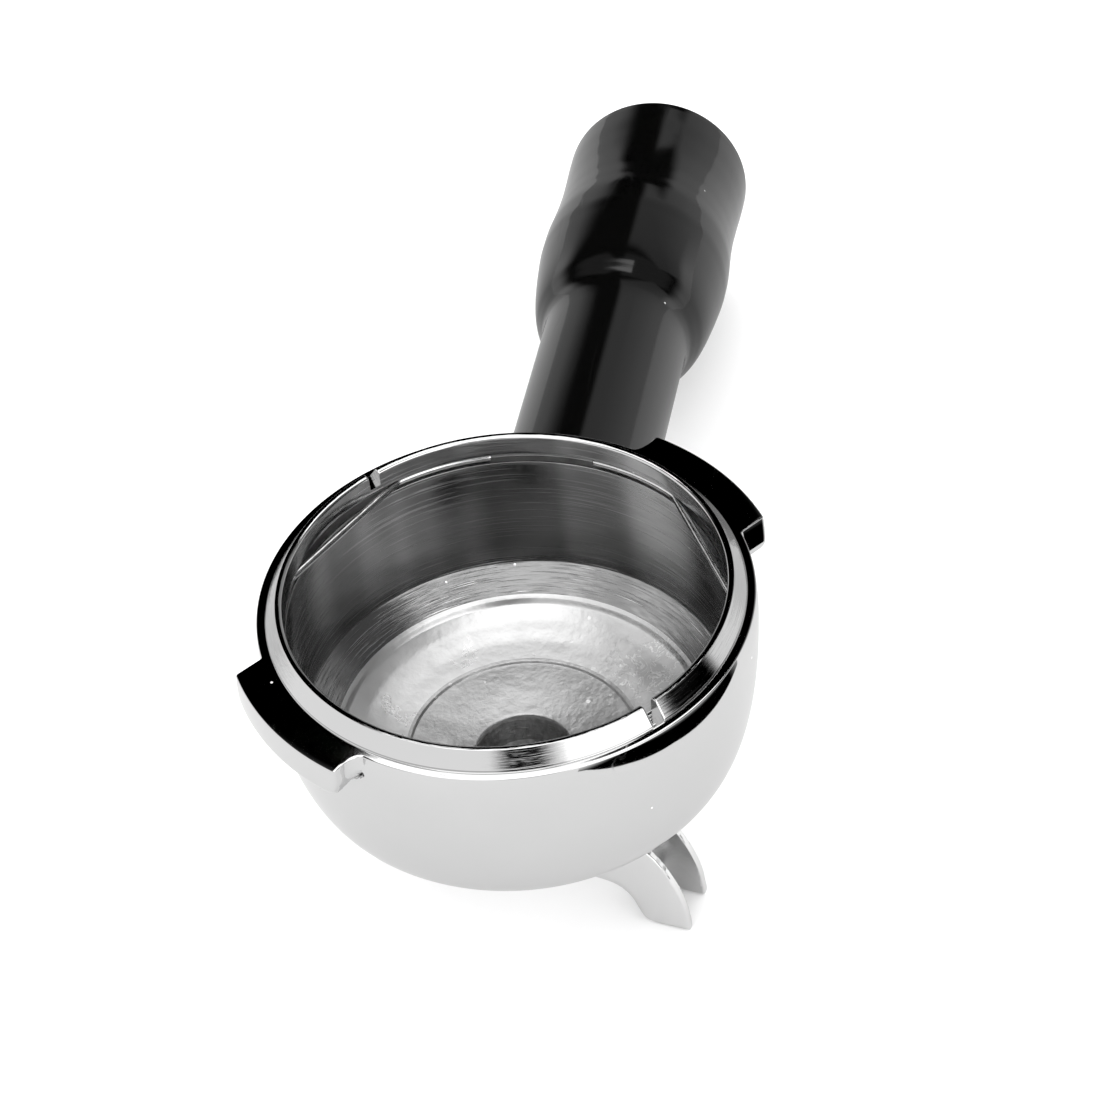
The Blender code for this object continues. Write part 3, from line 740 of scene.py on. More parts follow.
# The inside from the outlet up to the mouth: (surface, step, points of radius,
# height and corner radius). Each line ends where the next begins.
INSIDE = (
    ("bore", 0.45, (
        (NIPPLE_BORE_R, -45.0), (NIPPLE_BORE_R, -38.0, 1.0), (6.95, -34.9, 0.3), (7.05, -34.6),
    )),
    ("cast", 0.55, (
        (7.05, -34.6), (7.3, -34.15, 0.4), (9.0, -33.92), (11.5, -33.5, 6.0),
        (16.55, -32.75, 0.12), (16.8, -32.42, 0.12), (17.3, -32.33),
    )),
    ("floor", 0.55, (
        (17.3, -32.33), (20.5, -31.7, 14.0), (24.0, -30.6, 7.0),
        (26.15, -29.5, 0.8), (26.7, -28.78, 0.25), (27.2, -28.36),
    )),
    ("band", 0.4, ((27.2, -28.36), (31.28, -25.25, 0.35), (31.27, -24.7))),
    ("wall", 0.6, ((31.27, -24.7), (30.9, -4.95, 0.08), (31.1, -4.95))),
    ("groove", 0.35, (
        (31.1, -4.95), (32.35, -4.95, 0.14), (32.35, -3.2, 0.14), (31.1, -3.2),
    )),
    ("wall", 0.35, ((31.1, -3.2), (MOUTH_R, -3.2, 0.07), (MOUTH_R, -MOUTH_ROLL_Z))),
)
SURFACES = {
    "outer": chrome_outer,
    "rim": chrome_rim,
    "wall": wall_turned,
    "band": band_turned,
    "floor": floor_satin,
    "cast": floor_cast,
    "bore": bore_turned,
    "groove": groove_dark,
}


def side_radius(z):
    """Radius of the bowl's outside at a height below the rim."""
    z = np.asarray(z, float)
    drop = np.clip((z - SIDE_Z) / (SIDE_LOW_Z - SIDE_Z), 0, 1)
    lean = 0.0125 * np.clip(z + 7.0, 0, None) ** 2  # the top draws in a little
    bulge = (1 - drop**SIDE_POWER) ** (1 / SIDE_POWER)
    return SIDE_LOW_R + (BOWL_R - SIDE_LOW_R) * bulge - lean


END_Z = SIDE_Z + (SIDE_LOW_Z - SIDE_Z) * SIDE_END
END_R = float(side_radius(END_Z))
UNDERSIDE = bezier(
    (END_R, END_Z),
    (END_R - 2.9, END_Z - 3.7),
    (23.0, BASE_Z),
    (BASE_R, BASE_Z),
    np.linspace(0, 1, 22)[1:],
)


def lug_outline():
    """The outside radius round the shoulder: azimuths and radii."""
    azimuths, radii = [-180.0], [BOWL_R]
    for first, last, root in LUGS:
        # (radius, azimuth, corner radius)
        stations = [
            (BOWL_R, first - 4.6, 0),
            (BOWL_R, first - 4.0, 0),
            (BOWL_R, first - 2.75, 0.45),
            (LUG_R, first, 0.4),
        ]
        stations += [(LUG_R, azimuth, 0) for azimuth in np.linspace(first + 1.0, last - 1.2, 30)]
        stations.append((LUG_R, last, 0.45))
        for share in np.linspace(0.08, 1.0, 14):
            rise = 1 - math.sqrt(1 - (1 - share) ** 2)
            radius = BOWL_R + (LUG_R - 0.5 - BOWL_R) * rise
            stations.append((radius, last + (root - last) * share, 0))
        stations.append((BOWL_R, root + 0.6, 0))
        line = []
        for radius, azimuth, corner in stations:
            angle = math.radians(azimuth)
            line.append((radius * math.cos(angle), radius * math.sin(angle), corner))
        points = rounded(line, step=0.25)
        azimuths += np.degrees(np.arctan2(points[:, 1], points[:, 0])).tolist()
        radii += np.hypot(points[:, 0], points[:, 1]).tolist()
    azimuths.append(180.0)
    radii.append(BOWL_R)
    order = np.argsort(azimuths)
    return np.array(azimuths)[order], np.maximum(np.array(radii)[order], BOWL_R)


def azimuth_lines():
    """Azimuths of the mesh lines, close together at lug ends and notches, and
    the (notch, sideways offset) of those that run straight along a notch."""
    lines = set(np.round(np.arange(-180.0, 180.0, 1.0), 3).tolist())
    keep_off = [(notch - 4.0, notch + 4.0) for notch in NOTCHES]
    for first, last, root in LUGS:
        keep_off += [(first - 4.0, first + 0.9), (last - 0.9, root + 0.6)]
    lines = {a for a in lines if not any(start < a < end for start, end in keep_off)}
    for first, last, root in LUGS:
        for start, end in ((first - 4.0, first + 0.95), (last - 0.9, root + 0.65)):
            lines |= set(np.round(np.arange(start, end, 0.16), 3).tolist())
    half = (
        0.3, 0.6, NOTCH_HALF - 0.012, NOTCH_HALF + 0.012, NOTCH_HALF + 0.17, 1.15, 1.5, 2.0
    )
    straight = {}
    for notch in NOTCHES:
        for offset in (0.0, *half, *(-offset for offset in half)):
            azimuth = round(notch + math.degrees(math.asin(offset / NOTCH_LINE_R)), 4)
            lines.add(azimuth)
            straight[azimuth] = (notch, offset)
    return np.array(sorted(lines)), straight


AZIMUTHS, NOTCH_LINES = azimuth_lines()


def lug_bottoms():
    """Height of the lugs' underside at every mesh line."""
    bottoms = np.full(len(AZIMUTHS), NO_LUG_Z)
    for first, last, root in LUGS:
        near = (AZIMUTHS > first - 4.5) & (AZIMUTHS < root + 4)
        share = np.clip((AZIMUTHS - first) / (last - first), 0, 1)
        end = np.clip((AZIMUTHS - (last - LUG_END_SPAN)) / LUG_END_SPAN, 0, 1)
        lift = LUG_END_LIFT * (1 - np.sqrt(1 - np.minimum(end, 0.98) ** 2))
        level = LUG_DEEP + (LUG_SHALLOW - LUG_DEEP) * share + lift
        bottoms = np.where(near, level, bottoms)
    return bottoms


def lug_underside(proud, mask, bottom):
    """(radii, heights) round the lugs' lower edge and in to the bowl's side;
    between the lugs they follow the side."""
    edge, hollow = LUG_EDGE, LUG_HOLLOW
    edge_r = side_radius(bottom + edge) + proud
    base_r = side_radius(bottom - hollow)
    path = []
    for cos, sin in arc_steps(0, -90, 9):
        path.append((edge_r - edge + edge * cos, bottom + edge + edge * sin))
    for t in np.linspace(0, 1, 5)[1:]:
        path.append((edge_r - edge + (base_r + hollow - edge_r + edge) * t, bottom))
    for cos, sin in arc_steps(90, 180, 6):
        path.append((base_r + hollow + hollow * cos, bottom - hollow + hollow * sin))
    for i, (radius, z) in enumerate(path):
        side_z = bottom + edge - (edge + hollow) * (i + 1) / len(path)
        side_r = side_radius(side_z)
        yield side_r + (radius - side_r) * mask, side_z + (z - side_z) * mask


def outlet_thread():
    """(radii, height) down the outlet's helical thread."""
    for z in np.linspace(THREAD_TOP, NIPPLE_Z + 0.12, 66):
        phase = (z / NIPPLE_PITCH + AZIMUTHS / 360.0) % 1.0
        tooth = np.clip(np.abs(phase - 0.5) * 2.6 - 0.3, 0, 1)
        above, below = THREAD_TOP - z, z - NIPPLE_Z + 0.35
        fade = min(1.0, above / NIPPLE_THREAD_FADE, below / NIPPLE_THREAD_FADE)
        end_r = NIPPLE_R - NIPPLE_THREAD * (1 - max(0.0, fade))
        yield np.minimum(NIPPLE_R - NIPPLE_THREAD * tooth, end_r), z


def bowl_rows():
    """The closed section as rows of (surface, radii, heights), from the middle
    of the rim's flat out, down, and back up the inside."""
    rows = []
    level = np.zeros(len(AZIMUTHS))

    def add(surface, line):
        for radius, z in line:
            rows.append((list(SURFACES).index(surface), radius + level, z + level))

    rim = rounded(
        [
            (31.6, 0),
            (RIM_FLAT_R, 0, 0.05),
            (NECK_R, CHAMFER_Z, 0.08),
            (NECK_R, FLANGE_Z, 0.12),
            (FLANGE_START_R, FLANGE_Z),
        ],
        step=0.35,
    )
    for radius, z in rim[:-1]:
        add("rim" if z > CHAMFER_Z + 0.02 else "outer", [(radius, z)])

    # The flange, its shoulder and the upright face, standing proud at the lugs.
    proud = np.interp(AZIMUTHS, *lug_outline()) - BOWL_R
    mask = np.clip(proud / 0.8, 0, 1)
    bottom = lug_bottoms()
    corner = SHOULDER + (LUG_SHOULDER - SHOULDER) * mask
    top_r = side_radius(FLANGE_Z) + proud
    for t in np.linspace(0, 1, 4):
        add("outer", [(FLANGE_START_R + (top_r - corner - NECK_R - 0.3) * t, FLANGE_Z)])
    for cos, sin in arc_steps(90, 0, 6):
        add("outer", [(top_r - corner + corner * cos, FLANGE_Z - corner + corner * sin)])
    top = FLANGE_Z - corner
    for t in np.linspace(0, 1, 12)[1:]:
        z = top + (bottom + LUG_EDGE - top) * t
        add("outer", [(side_radius(z) + proud, z)])
    add("outer", lug_underside(proud, mask, bottom))

    # The side, the underside and the seat.
    start = bottom - LUG_HOLLOW
    for t in 1 - (1 - np.linspace(0, 1, 30)[1:]) ** 1.25:
        z = start + (END_Z - start) * t
        add("outer", [(side_radius(z), z)])
    add("outer", UNDERSIDE)
    seat = [
        (BASE_R, BASE_Z),
        (13.5, BASE_Z, 0.9),
        (SEAT_R, -37.0, 0.6),
        (SEAT_R, SEAT_Z, 0.25),
        (NIPPLE_R - 0.6, SEAT_Z, 0.2),
        (NIPPLE_R - 0.6, SEAT_Z - 0.7),
    ]
    add("outer", rounded(seat, step=0.5)[1:])

    # The outlet's thread, then its end.
    add("outer", outlet_thread())
    outlet_end = [
        (NIPPLE_R - 0.8, NIPPLE_Z + 0.06),
        (NIPPLE_R - 0.95, NIPPLE_Z, 0.05),
        (6.3, NIPPLE_Z, 0.1),
        (NIPPLE_BORE_R, NIPPLE_Z + 0.4, 0.1),
        (NIPPLE_BORE_R, -45.0),
    ]
    add("outer", rounded(outlet_end, step=0.5))
    for surface, step, line in INSIDE:
        add(surface, rounded(line, step=step)[:-1])
    # The mouth's worn edge rolls over from the wall to the flat.
    for angle in np.radians(np.linspace(90, 0, 9)):
        radius = MOUTH_R + MOUTH_ROLL - MOUTH_ROLL * math.sin(angle)
        add("rim", [(radius, -MOUTH_ROLL_Z + MOUTH_ROLL_Z * math.cos(angle))])
    return rows


def make_bowl():
    surfaces, radii, heights = (np.array(column) for column in zip(*bowl_rows()))
    angles = np.repeat(np.radians(AZIMUTHS)[None, :], len(radii), 0)
    # Cut the notches: straight lines across the rim, pressed down between them.
    zone = (radii > 30.5) & (radii < NECK_R + 0.35) & (heights > -3.0)
    for j, azimuth in enumerate(AZIMUTHS):
        key = round(float(azimuth), 4)
        if key not in NOTCH_LINES:
            continue
        notch, offset = NOTCH_LINES[key]
        straight = math.radians(notch) + np.arcsin(offset / radii[:, j])
        angles[:, j] = np.where(zone[:, j], straight, angles[:, j])
        column = heights[:, j]
        if abs(offset) < NOTCH_HALF:
            heights[:, j] = np.where(zone[:, j], np.minimum(column, NOTCH_Z), column)
        elif abs(offset) < NOTCH_HALF + 0.05:  # a small bevel along the cut
            bevel = zone[:, j] & (column > -2.3) & (radii[:, j] < 33.5)
            heights[:, j] -= np.where(bevel, NOTCH_BEVEL, 0.0)
    points = np.stack((radii * np.cos(angles), radii * np.sin(angles), heights + RIM), -1)
    bowl = finish_mesh(
        "bowl_shell",
        points.reshape(-1, 3),
        grid_faces(len(radii), len(AZIMUTHS), wrap_rows=True),
        list(SURFACES.values()),
        np.repeat(surfaces, len(AZIMUTHS)),
        sharp=38.0,
    )
    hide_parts("bowl_body")
    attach(bowl, "bowl")


make_bowl()

# --------------------------------------------- the boss that holds the handle
BOWL_OUTLINE = np.array(
    [
        (0, 0),
        (RIM_FLAT_R, 0),
        (NECK_R, CHAMFER_Z),
        (NECK_R, FLANGE_Z),
        (float(side_radius(FLANGE_Z)) - 0.05, FLANGE_Z),
    ]
    + [(float(side_radius(z)), z) for z in np.linspace(FLANGE_Z - 0.05, END_Z, 64)]
    + [tuple(point) for point in UNDERSIDE]
    + [(SEAT_R, BASE_Z), (SEAT_R, SEAT_Z), (0, SEAT_Z)]
)
BOSS_SIDES, BOSS_FILLET = 120, 3.4
BORE_FLOOR, BOSS_FACE, BOSS_FACE_R, BOSS_BORE_R = 35.4, 46.4, 10.2, 6.02
# (radius, distance along the grip's axis, corner radius)
BOSS_OUTSIDE = (
    (BOSS_FACE_R, BOSS_FACE, 0.0), (10.8, 45.8, 0.4), (10.9, 42.4, 8), (11.7, 35.0, 12),
    (12.2, 28.0, 4), (10.6, 24.2, 2.5), (7.7, 23.0, 2), (0.0, 23.0),
)
BOSS_BORE = (
    (0, BORE_FLOOR), (5.2, BORE_FLOOR, 0.3), (BOSS_BORE_R, 36.2, 0.2),
    (BOSS_BORE_R, 45.9, 0.2), (6.5, BOSS_FACE, 0.2), (BOSS_FACE_R, BOSS_FACE),
)


def bowl_distance(points):
    """Signed distance to the bowl's outside, negative within it (mm)."""
    section = np.stack((np.hypot(points[:, 0], points[:, 1]), points[:, 2] - RIM), 1)
    distance, side = line_distance(section, BOWL_OUTLINE)
    return np.where(side > 0, distance, -distance)


def make_boss():
    """The boss runs down to the bowl and joins it with a fillet."""
    line = rounded(BOSS_OUTSIDE, step=0.25)
    angles = np.arange(BOSS_SIDES) * TAU / BOSS_SIDES
    spokes = np.cos(angles)[:, None] * GRIP_X + np.sin(angles)[:, None] * GRIP_UP
    grid = GRIP_ORIGIN + line[:, None, 1:2] * GRIP_AXIS + line[:, None, 0:1] * spokes[None]
    distance = bowl_distance(grid.reshape(-1, 3)).reshape(grid.shape[:2])
    segments = np.linalg.norm(np.diff(line, axis=0), axis=1)
    lengths = np.concatenate(([0], np.cumsum(segments)))

    # Length along the outside at which each side meets the bowl.
    meet = np.zeros(BOSS_SIDES)
    for j in range(BOSS_SIDES):
        k = int(np.argmax(distance[:, j] < 0))
        before, after = distance[k - 1, j], distance[k, j]
        gap = lengths[k] - lengths[k - 1]
        meet[j] = lengths[k - 1] + gap * before / (before - after)
    # The meeting line is eased round the boss, so that the fillet flows.
    for _ in range(10):
        meet = (np.roll(meet, 1) + 2 * meet + np.roll(meet, -1)) / 4

    def outside(length):
        radius = np.interp(length, lengths, line[:, 0])
        along = np.interp(length, lengths, line[:, 1])
        return GRIP_ORIGIN + along[:, None] * GRIP_AXIS + radius[:, None] * spokes

    crease = outside(meet)
    fillet_top = outside(meet - BOSS_FILLET)
    around = np.roll(crease, -1, 0) - np.roll(crease, 1, 0)
    around /= np.linalg.norm(around, axis=1, keepdims=True)
    away = np.cross(around, gradient(bowl_distance, crease))
    away *= np.sign(np.einsum("ij,ij->i", away, spokes) + 1e-9)[:, None]
    away /= np.linalg.norm(away, axis=1, keepdims=True)
    fillet_foot = onto(bowl_distance, crease + away * BOSS_FILLET, -0.004)
    sunk = onto(bowl_distance, fillet_foot + away * 0.5, -0.15)
    middle = sunk.mean(0)

    rings = []
    for radius, along in rounded(BOSS_BORE, step=0.8)[1:-1]:
        rings.append(GRIP_ORIGIN + along * GRIP_AXIS + radius * spokes)
    for t in np.linspace(0, 1, 26)[:-1]:
        rings.append(outside((meet - BOSS_FILLET) * t))
    for t in np.linspace(0, 1, 16):
        rings.append((1 - t) ** 2 * fillet_top + 2 * t * (1 - t) * crease + t * t * fillet_foot)
    rings.append(sunk)
    # Closed off out of sight, under the bowl's skin.
    for t in (0.75, 0.5, 0.25, 0.08):
        rings.append(onto(bowl_distance, middle + (sunk - middle) * t, -0.6))
    tips = (
        GRIP_ORIGIN + BORE_FLOOR * GRIP_AXIS,
        onto(bowl_distance, middle[None], -0.6),
    )
    boss = capped("bowl_handle_boss", rings, tips, [chrome_outer], sharp=50.0)
    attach(boss, "bowl")


make_boss()

# ============================================================== basket spring
WIRE_R, WIRE_LINE_R, WIRE_Z, WIRE_BEND, WIRE_SIDES = 0.55, 31.5, RIM - 4.1, 2.2, 20
# Azimuths of the wire's ends and of its three straight runs.
WIRE_ENDS, WIRE_FLATS = (104.0, 435.0), ((130.0, 175.0), (248.0, 292.0), (366.0, 409.0))
# Each domed end from its tip: (share of the wire's radius, share of the dome's depth).
WIRE_DOME, WIRE_DOME_DEPTH = ((0.30, 0.999), (0.72, 0.80), (0.93, 0.42), (1.0, 0.0)), 0.35


def wire_path():
    """The wire from above as (x, y, corner radius): arcs joined by flats."""
    bends = [azimuth for flat in WIRE_FLATS for azimuth in flat]
    stations = [WIRE_ENDS[0], *bends, WIRE_ENDS[1]]
    azimuths = []
    for i, (first, last) in enumerate(zip(stations, stations[1:])):
        if i % 2 == 0:
            steps = max(2, int(abs(last - first) / 2))
            azimuths += [(azimuth, False) for azimuth in np.linspace(first, last, steps)[:-1]]
        else:
            azimuths.append((first, True))
    azimuths.append((stations[-1], False))
    path = []
    for azimuth, starts_flat in azimuths:
        x = WIRE_LINE_R * math.cos(math.radians(azimuth))
        y = WIRE_LINE_R * math.sin(math.radians(azimuth))
        # A flat's far end is found by the azimuth read back from its point; one
        # that reads back a hair short of its bend keeps a plain corner.
        actual = math.degrees(math.atan2(y, x)) % 360
        bent = starts_flat or any(abs((actual - bend) % 360) < 0.01 for bend in bends)
        path.append((x, y, WIRE_BEND if bent else 0.0))
    return path


def make_spring():
    line = rounded(wire_path(), step=0.8)
    tangent = np.gradient(line, axis=0)
    tangent /= np.linalg.norm(tangent, axis=1, keepdims=True)
    level = np.zeros(len(line))
    centres = np.column_stack((line, np.full(len(line), WIRE_Z)))
    along = np.column_stack((tangent, level))
    side = np.column_stack((tangent[:, 1], -tangent[:, 0], level))
    up = np.array((0, 0, 1.0))
    # (point index, share of the radius, shift along the wire)
    stations = [(0, share, -depth * WIRE_DOME_DEPTH) for share, depth in WIRE_DOME]
    stations += [(i, 1.0, 0.0) for i in range(1, len(line) - 1)]
    stations += [
        (len(line) - 1, share, depth * WIRE_DOME_DEPTH) for share, depth in reversed(WIRE_DOME)
    ]
    circle = np.arange(WIRE_SIDES) * TAU / WIRE_SIDES
    rings = []
    for i, share, shift in stations:
        spokes = np.cos(circle)[:, None] * side[i] + np.sin(circle)[:, None] * up
        rings.append(centres[i] + along[i] * shift + WIRE_R * share * spokes)
    tips = (rings[0].mean(0), rings[-1].mean(0))
    wire = capped("basket_spring_wire", rings, tips, [wire_steel], sharp=60.0)
    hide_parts("basket_spring")
    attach(wire, "spring")


make_spring()

# ===================================================================== gasket
GASKET_OUT_R, GASKET_IN_R, GASKET_CORNER = 11.6, 8.6, 0.25


def gasket_waver(radius, height, angle):
    """The outer edge is slightly out of round."""
    return radius + 0.03 * np.sin(angle * 5 + 1.0) * (radius > 10)


def make_gasket():
    section = [
        (GASKET_OUT_R, GASKET_HIGH, GASKET_CORNER),
        (GASKET_OUT_R, GASKET_LOW, GASKET_CORNER),
        (GASKET_IN_R, GASKET_LOW, GASKET_CORNER),
        (GASKET_IN_R, GASKET_HIGH, GASKET_CORNER),
    ]
    line = rounded(section, step=0.5, closed=True)
    gasket = turned("spout_gasket_ring", line, 128, fibre, UPRIGHT_AXES, radial=gasket_waver)
    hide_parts("spout_gasket")
    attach(gasket, "gasket")


make_gasket()

# ====================================================================== spout
SPOUT_TURN = math.radians(-11.0)
# Upper and lower outlines of one arm: (distance from the centre, height).
UPPER_KNOTS = (
    (0.0, -44.9), (6.0, -44.9), (12.0, -44.8), (16.5, -45.0), (19.5, -46.2),
    (21.8, -49.0), (23.7, -52.6), (25.1, -56.8), (25.8, -62.0),
)
LOWER_KNOTS = (
    (0.0, -55.9), (6.0, -55.9), (10.0, -55.9), (12.4, -56.1), (14.0, -56.6),
    (15.2, -57.6), (16.1, -59.0), (16.6, -60.4), (16.8, -62.0),
)
UPPER_LINE, LOWER_LINE = catmull(UPPER_KNOTS, 6), catmull(LOWER_KNOTS, 6)
# Sections of the hub and of its bore: (radius, height).
HUB_SECTION = np.array([
    (0, -39.3), (11.75, -39.3), (12.2, -39.75), (12.2, -44.2),
    (10.8, -46.8), (8.4, -49.6), (6.2, -52.8), (0, -52.8),
])
HUB_BORE_SECTION = np.array([(0, -38.0), (8.43, -38.0), (8.43, -47.0), (4.2, -50.8), (0, -51.6)])
ARM_HALF, ARM_FLAT = 4.25, 1.6  # half width, and half its flat part
CHANNEL_HALF, CHANNEL_FLAT, SKIN, CHANNEL_REACH = 3.05, 1.0, 1.45, 1.2
HEEL_BLEND, ARM_BLEND, HUB_BLEND, EDGE_BLEND, BORE_BLEND = 4.2, 0.5, 2.2, 0.22, 0.3


def rounded_slot(across, depth, half, flat):
    """Distance to an upright slot with a rounded bottom at depth 0."""
    corner = half - flat
    x, y = across - flat, depth + corner
    outside = np.hypot(np.maximum(x, 0), np.maximum(y, 0))
    return outside + np.minimum(np.maximum(x, y), 0) - corner


def spout_parts(points):
    """Distances of the arms' outside, the channel, the hub and the bore."""
    x, y, z = points.T
    section = np.stack((np.abs(x), z), 1)
    upper, upper_side = line_distance(section, UPPER_LINE)
    lower, lower_side = line_distance(section, LOWER_LINE)
    upper = np.where(upper_side > 0, upper, -upper)  # above the upper line is positive
    lower = np.where(lower_side > 0, -lower, lower)  # below the lower line is positive
    arm = rounded_slot(np.abs(y), lower, ARM_HALF, ARM_FLAT)
    heel = soft_max(lower, TIP_Z - z, HEEL_BLEND)
    outside = soft_max(soft_max(arm, upper, EDGE_BLEND), heel, ARM_BLEND)
    channel = rounded_slot(np.abs(y), lower + SKIN, CHANNEL_HALF, CHANNEL_FLAT)
    channel = np.maximum(channel, upper - CHANNEL_REACH)
    radial = np.stack((np.hypot(x, y), z), 1)
    hub = polygon_distance(radial, HUB_SECTION)
    return outside, channel, hub, polygon_distance(radial, HUB_BORE_SECTION)


def spout_distance(points):
    outside, channel, hub, bore = spout_parts(points)
    body = soft_min(outside, hub, HUB_BLEND)
    body = soft_max(body, -channel, EDGE_BLEND)
    return soft_max(body, -bore, BORE_BLEND)


def surface_net(field, low, high, step):
    """Points and quads of the surface where the field is zero: one point in
    every grid cell it passes through."""
    low, high = np.array(low, float), np.array(high, float)
    size = np.ceil((high - low) / step).astype(int) + 1
    axes = [low[k] + step * np.arange(size[k]) for k in range(3)]
    points = np.stack([grid.ravel() for grid in np.meshgrid(*axes, indexing="ij")], 1)
    batch = 400000
    parts = [field(points[i : i + batch]) for i in range(0, len(points), batch)]
    values = np.concatenate(parts).reshape(size)
    inside = values < 0
    corners = [(a, b, c) for a in (0, 1) for b in (0, 1) for c in (0, 1)]
    count = np.zeros(size - 1, int)
    for corner in corners:
        count += inside[tuple(slice(d, n - 1 + d) for d, n in zip(corner, size))]
    active = (count > 0) & (count < 8)
    ids = np.full(size - 1, -1)
    ids[active] = np.arange(active.sum())

    # Each point is the mean of the crossings on its cell's edges.
    cells = np.argwhere(active)
    crossings, number = np.zeros((len(cells), 3)), np.zeros(len(cells))
    for corner in corners:
        for k in range(3):
            if corner[k]:
                continue
            other = list(corner)
            other[k] = 1
            start = values[tuple((cells + corner).T)]
            end = values[tuple((cells + other).T)]
            cross = (start < 0) != (end < 0)
            share = np.where(cross, start / np.where(start == end, 1, start - end), 0)
            point = np.tile(np.array(corner, float), (len(cells), 1))
            point[:, k] += share
            crossings += np.where(cross[:, None], point, 0)
            number += cross
    positions = low + step * (cells + crossings / number[:, None])

    # Each grid edge that crosses the surface joins the four cells round it.
    quads = []
    for k in range(3):
        i, j = [axis for axis in range(3) if axis != k]
        near, far = [slice(1, -1)] * 3, [slice(1, -1)] * 3
        near[k], far[k] = slice(0, -1), slice(1, None)
        near, far = tuple(near), tuple(far)
        change = inside[near] != inside[far]
        base = np.argwhere(change)
        base[:, [i, j]] += 1
        ring = []
        for step_i, step_j in ((-1, -1), (0, -1), (0, 0), (-1, 0)):
            cell = base.copy()
            cell[:, i] += step_i
            cell[:, j] += step_j
            ring.append(ids[tuple(cell.T)])
        ring = np.stack(ring, 1)
        flip = inside[near][change] ^ (k == 1)
        ring[flip] = ring[flip][:, ::-1]
        quads.append(ring)
    return positions, np.concatenate(quads)


def make_spout():
    step = 0.3
    points, quads = surface_net(
        spout_distance, low=(-27.0, -13.4, -63.0), high=(27.0, 13.4, -38.3), step=step
    )
    for _ in range(3):
        slope = gradient(spout_distance, points, 0.02)
        points = points - slope * np.clip(spout_distance(points), -0.3, 0.3)[:, None]
    outside, channel, _, bore = spout_parts(points)
    in_channel = (np.abs(channel) < 0.09) & (outside < -0.25)
    in_bore = (np.abs(bore) < 0.09) & (outside < 3)
    channel_faces = in_channel[quads].sum(1) >= 3
    bore_faces = in_bore[quads].sum(1) >= 3
    normals = gradient(spout_distance, points, 0.03)
    cos, sin = math.cos(SPOUT_TURN), math.sin(SPOUT_TURN)
    turn = np.array(((cos, -sin, 0), (sin, cos, 0), (0, 0, 1.0)))
    spout = finish_mesh(
        "spout_double",
        points @ turn.T + (0, 0, RIM),
        quads.tolist(),
        [chrome_spout_brightened, channel_satin, bore_turned],
        np.where(bore_faces, 2, np.where(channel_faces, 1, 0)),
        sharp=None,
        weld=False,
    )
    spout.data.normals_split_custom_set_from_vertices((normals @ turn.T).tolist())
    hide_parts("spout_body")
    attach(spout, "spout")


make_spout()

# ============================================================== handle pieces
M12_PITCH = 1.75
STUD_R, STUD_START, STUD_END = 5.95, 35.8, 70.0
WASHER_IN, WASHER_OUT, WASHER_LOW, WASHER_HIGH, WASHER_CORNER = 6.4, 10.2, 46.78, 47.62, 0.12
WASHER_SPRING = 0.07  # how far each cut end is sprung from the middle
INSERT_R, INSERT_BORE_R, INSERT_WAIST_R = 8.0, 6.05, 7.3
INSERT_START, INSERT_END = 48.3, 69.0
# The grip's outside: (radius, distance along the axis).
GRIP_KNOTS = (
    (12.03, 49.6), (12.16, 66.0), (12.32, 84.0), (12.44, 94.0), (12.58, 97.3),
    (12.95, 99.4), (13.8, 101.5), (14.75, 103.8), (15.5, 107.0), (16.2, 112.0),
    (16.72, 117.0), (17.02, 121.0), (17.06, 125.0), (16.82, 130.0), (16.6, 135.0),
    (16.53, 140.0), (16.66, 146.0), (16.88, 151.5), (16.98, 155.2),
)
# Further parts of its section: (radius, distance, corner radius).
GRIP_HOLLOW = (
    (5.0, 105.0), (9.0, 105.0, 1.0), (12.6, 111.0, 3.0),
    (12.6, 154.6, 0.2), (15.3, 154.6, 0.2), (15.3, 156.9, 0.1),
)
GRIP_END = ((15.45, 156.2), (15.45, 157.15, 0.25), (16.98, 157.15, 1.35), (16.98, 155.2))
GRIP_SOCKET = (
    (12.03, 49.6), (12.0, 48.0, 1.1), (8.08, 48.0, 0.15), (8.08, 69.3, 0.2),
    (6.4, 69.3, 0.2), (6.4, 74.0, 0.5), (3.0, 75.2),
)
PLUG_TOP, PLUG_DOME, PLUG_DOME_R, PLUG_INSIDE = 158.4, 1.05, 13.6, 153.2
PLUG_SKIRT = (
    (PLUG_DOME_R, 157.35), (14.95, 156.95, 0.5), (14.95, 154.9, 0.15), (12.3, 154.9, 0.15),
    (12.3, 149.5, 0.3), (10.8, 149.5, 0.3), (10.8, PLUG_INSIDE, 0.4), (4.0, PLUG_INSIDE),
)


def threaded(surface_r, pitch, deep, start, end, inner=False):
    """A radial function: a helical vee thread between start and end."""

    def shape(radius, height, angle):
        phase = (height / pitch - angle / TAU) % 1.0
        tooth = np.clip(np.abs(phase - 0.5) * 2.4 - 0.15, 0, 1)
        fade = np.clip(np.minimum(height - start, end - height) / (0.6 * pitch), 0, 1)
        on = (np.abs(radius - surface_r) < 0.02) & (height > start) & (height < end)
        cut = deep * tooth * fade
        return np.where(on, radius + cut if inner else radius - cut, radius)

    return shape


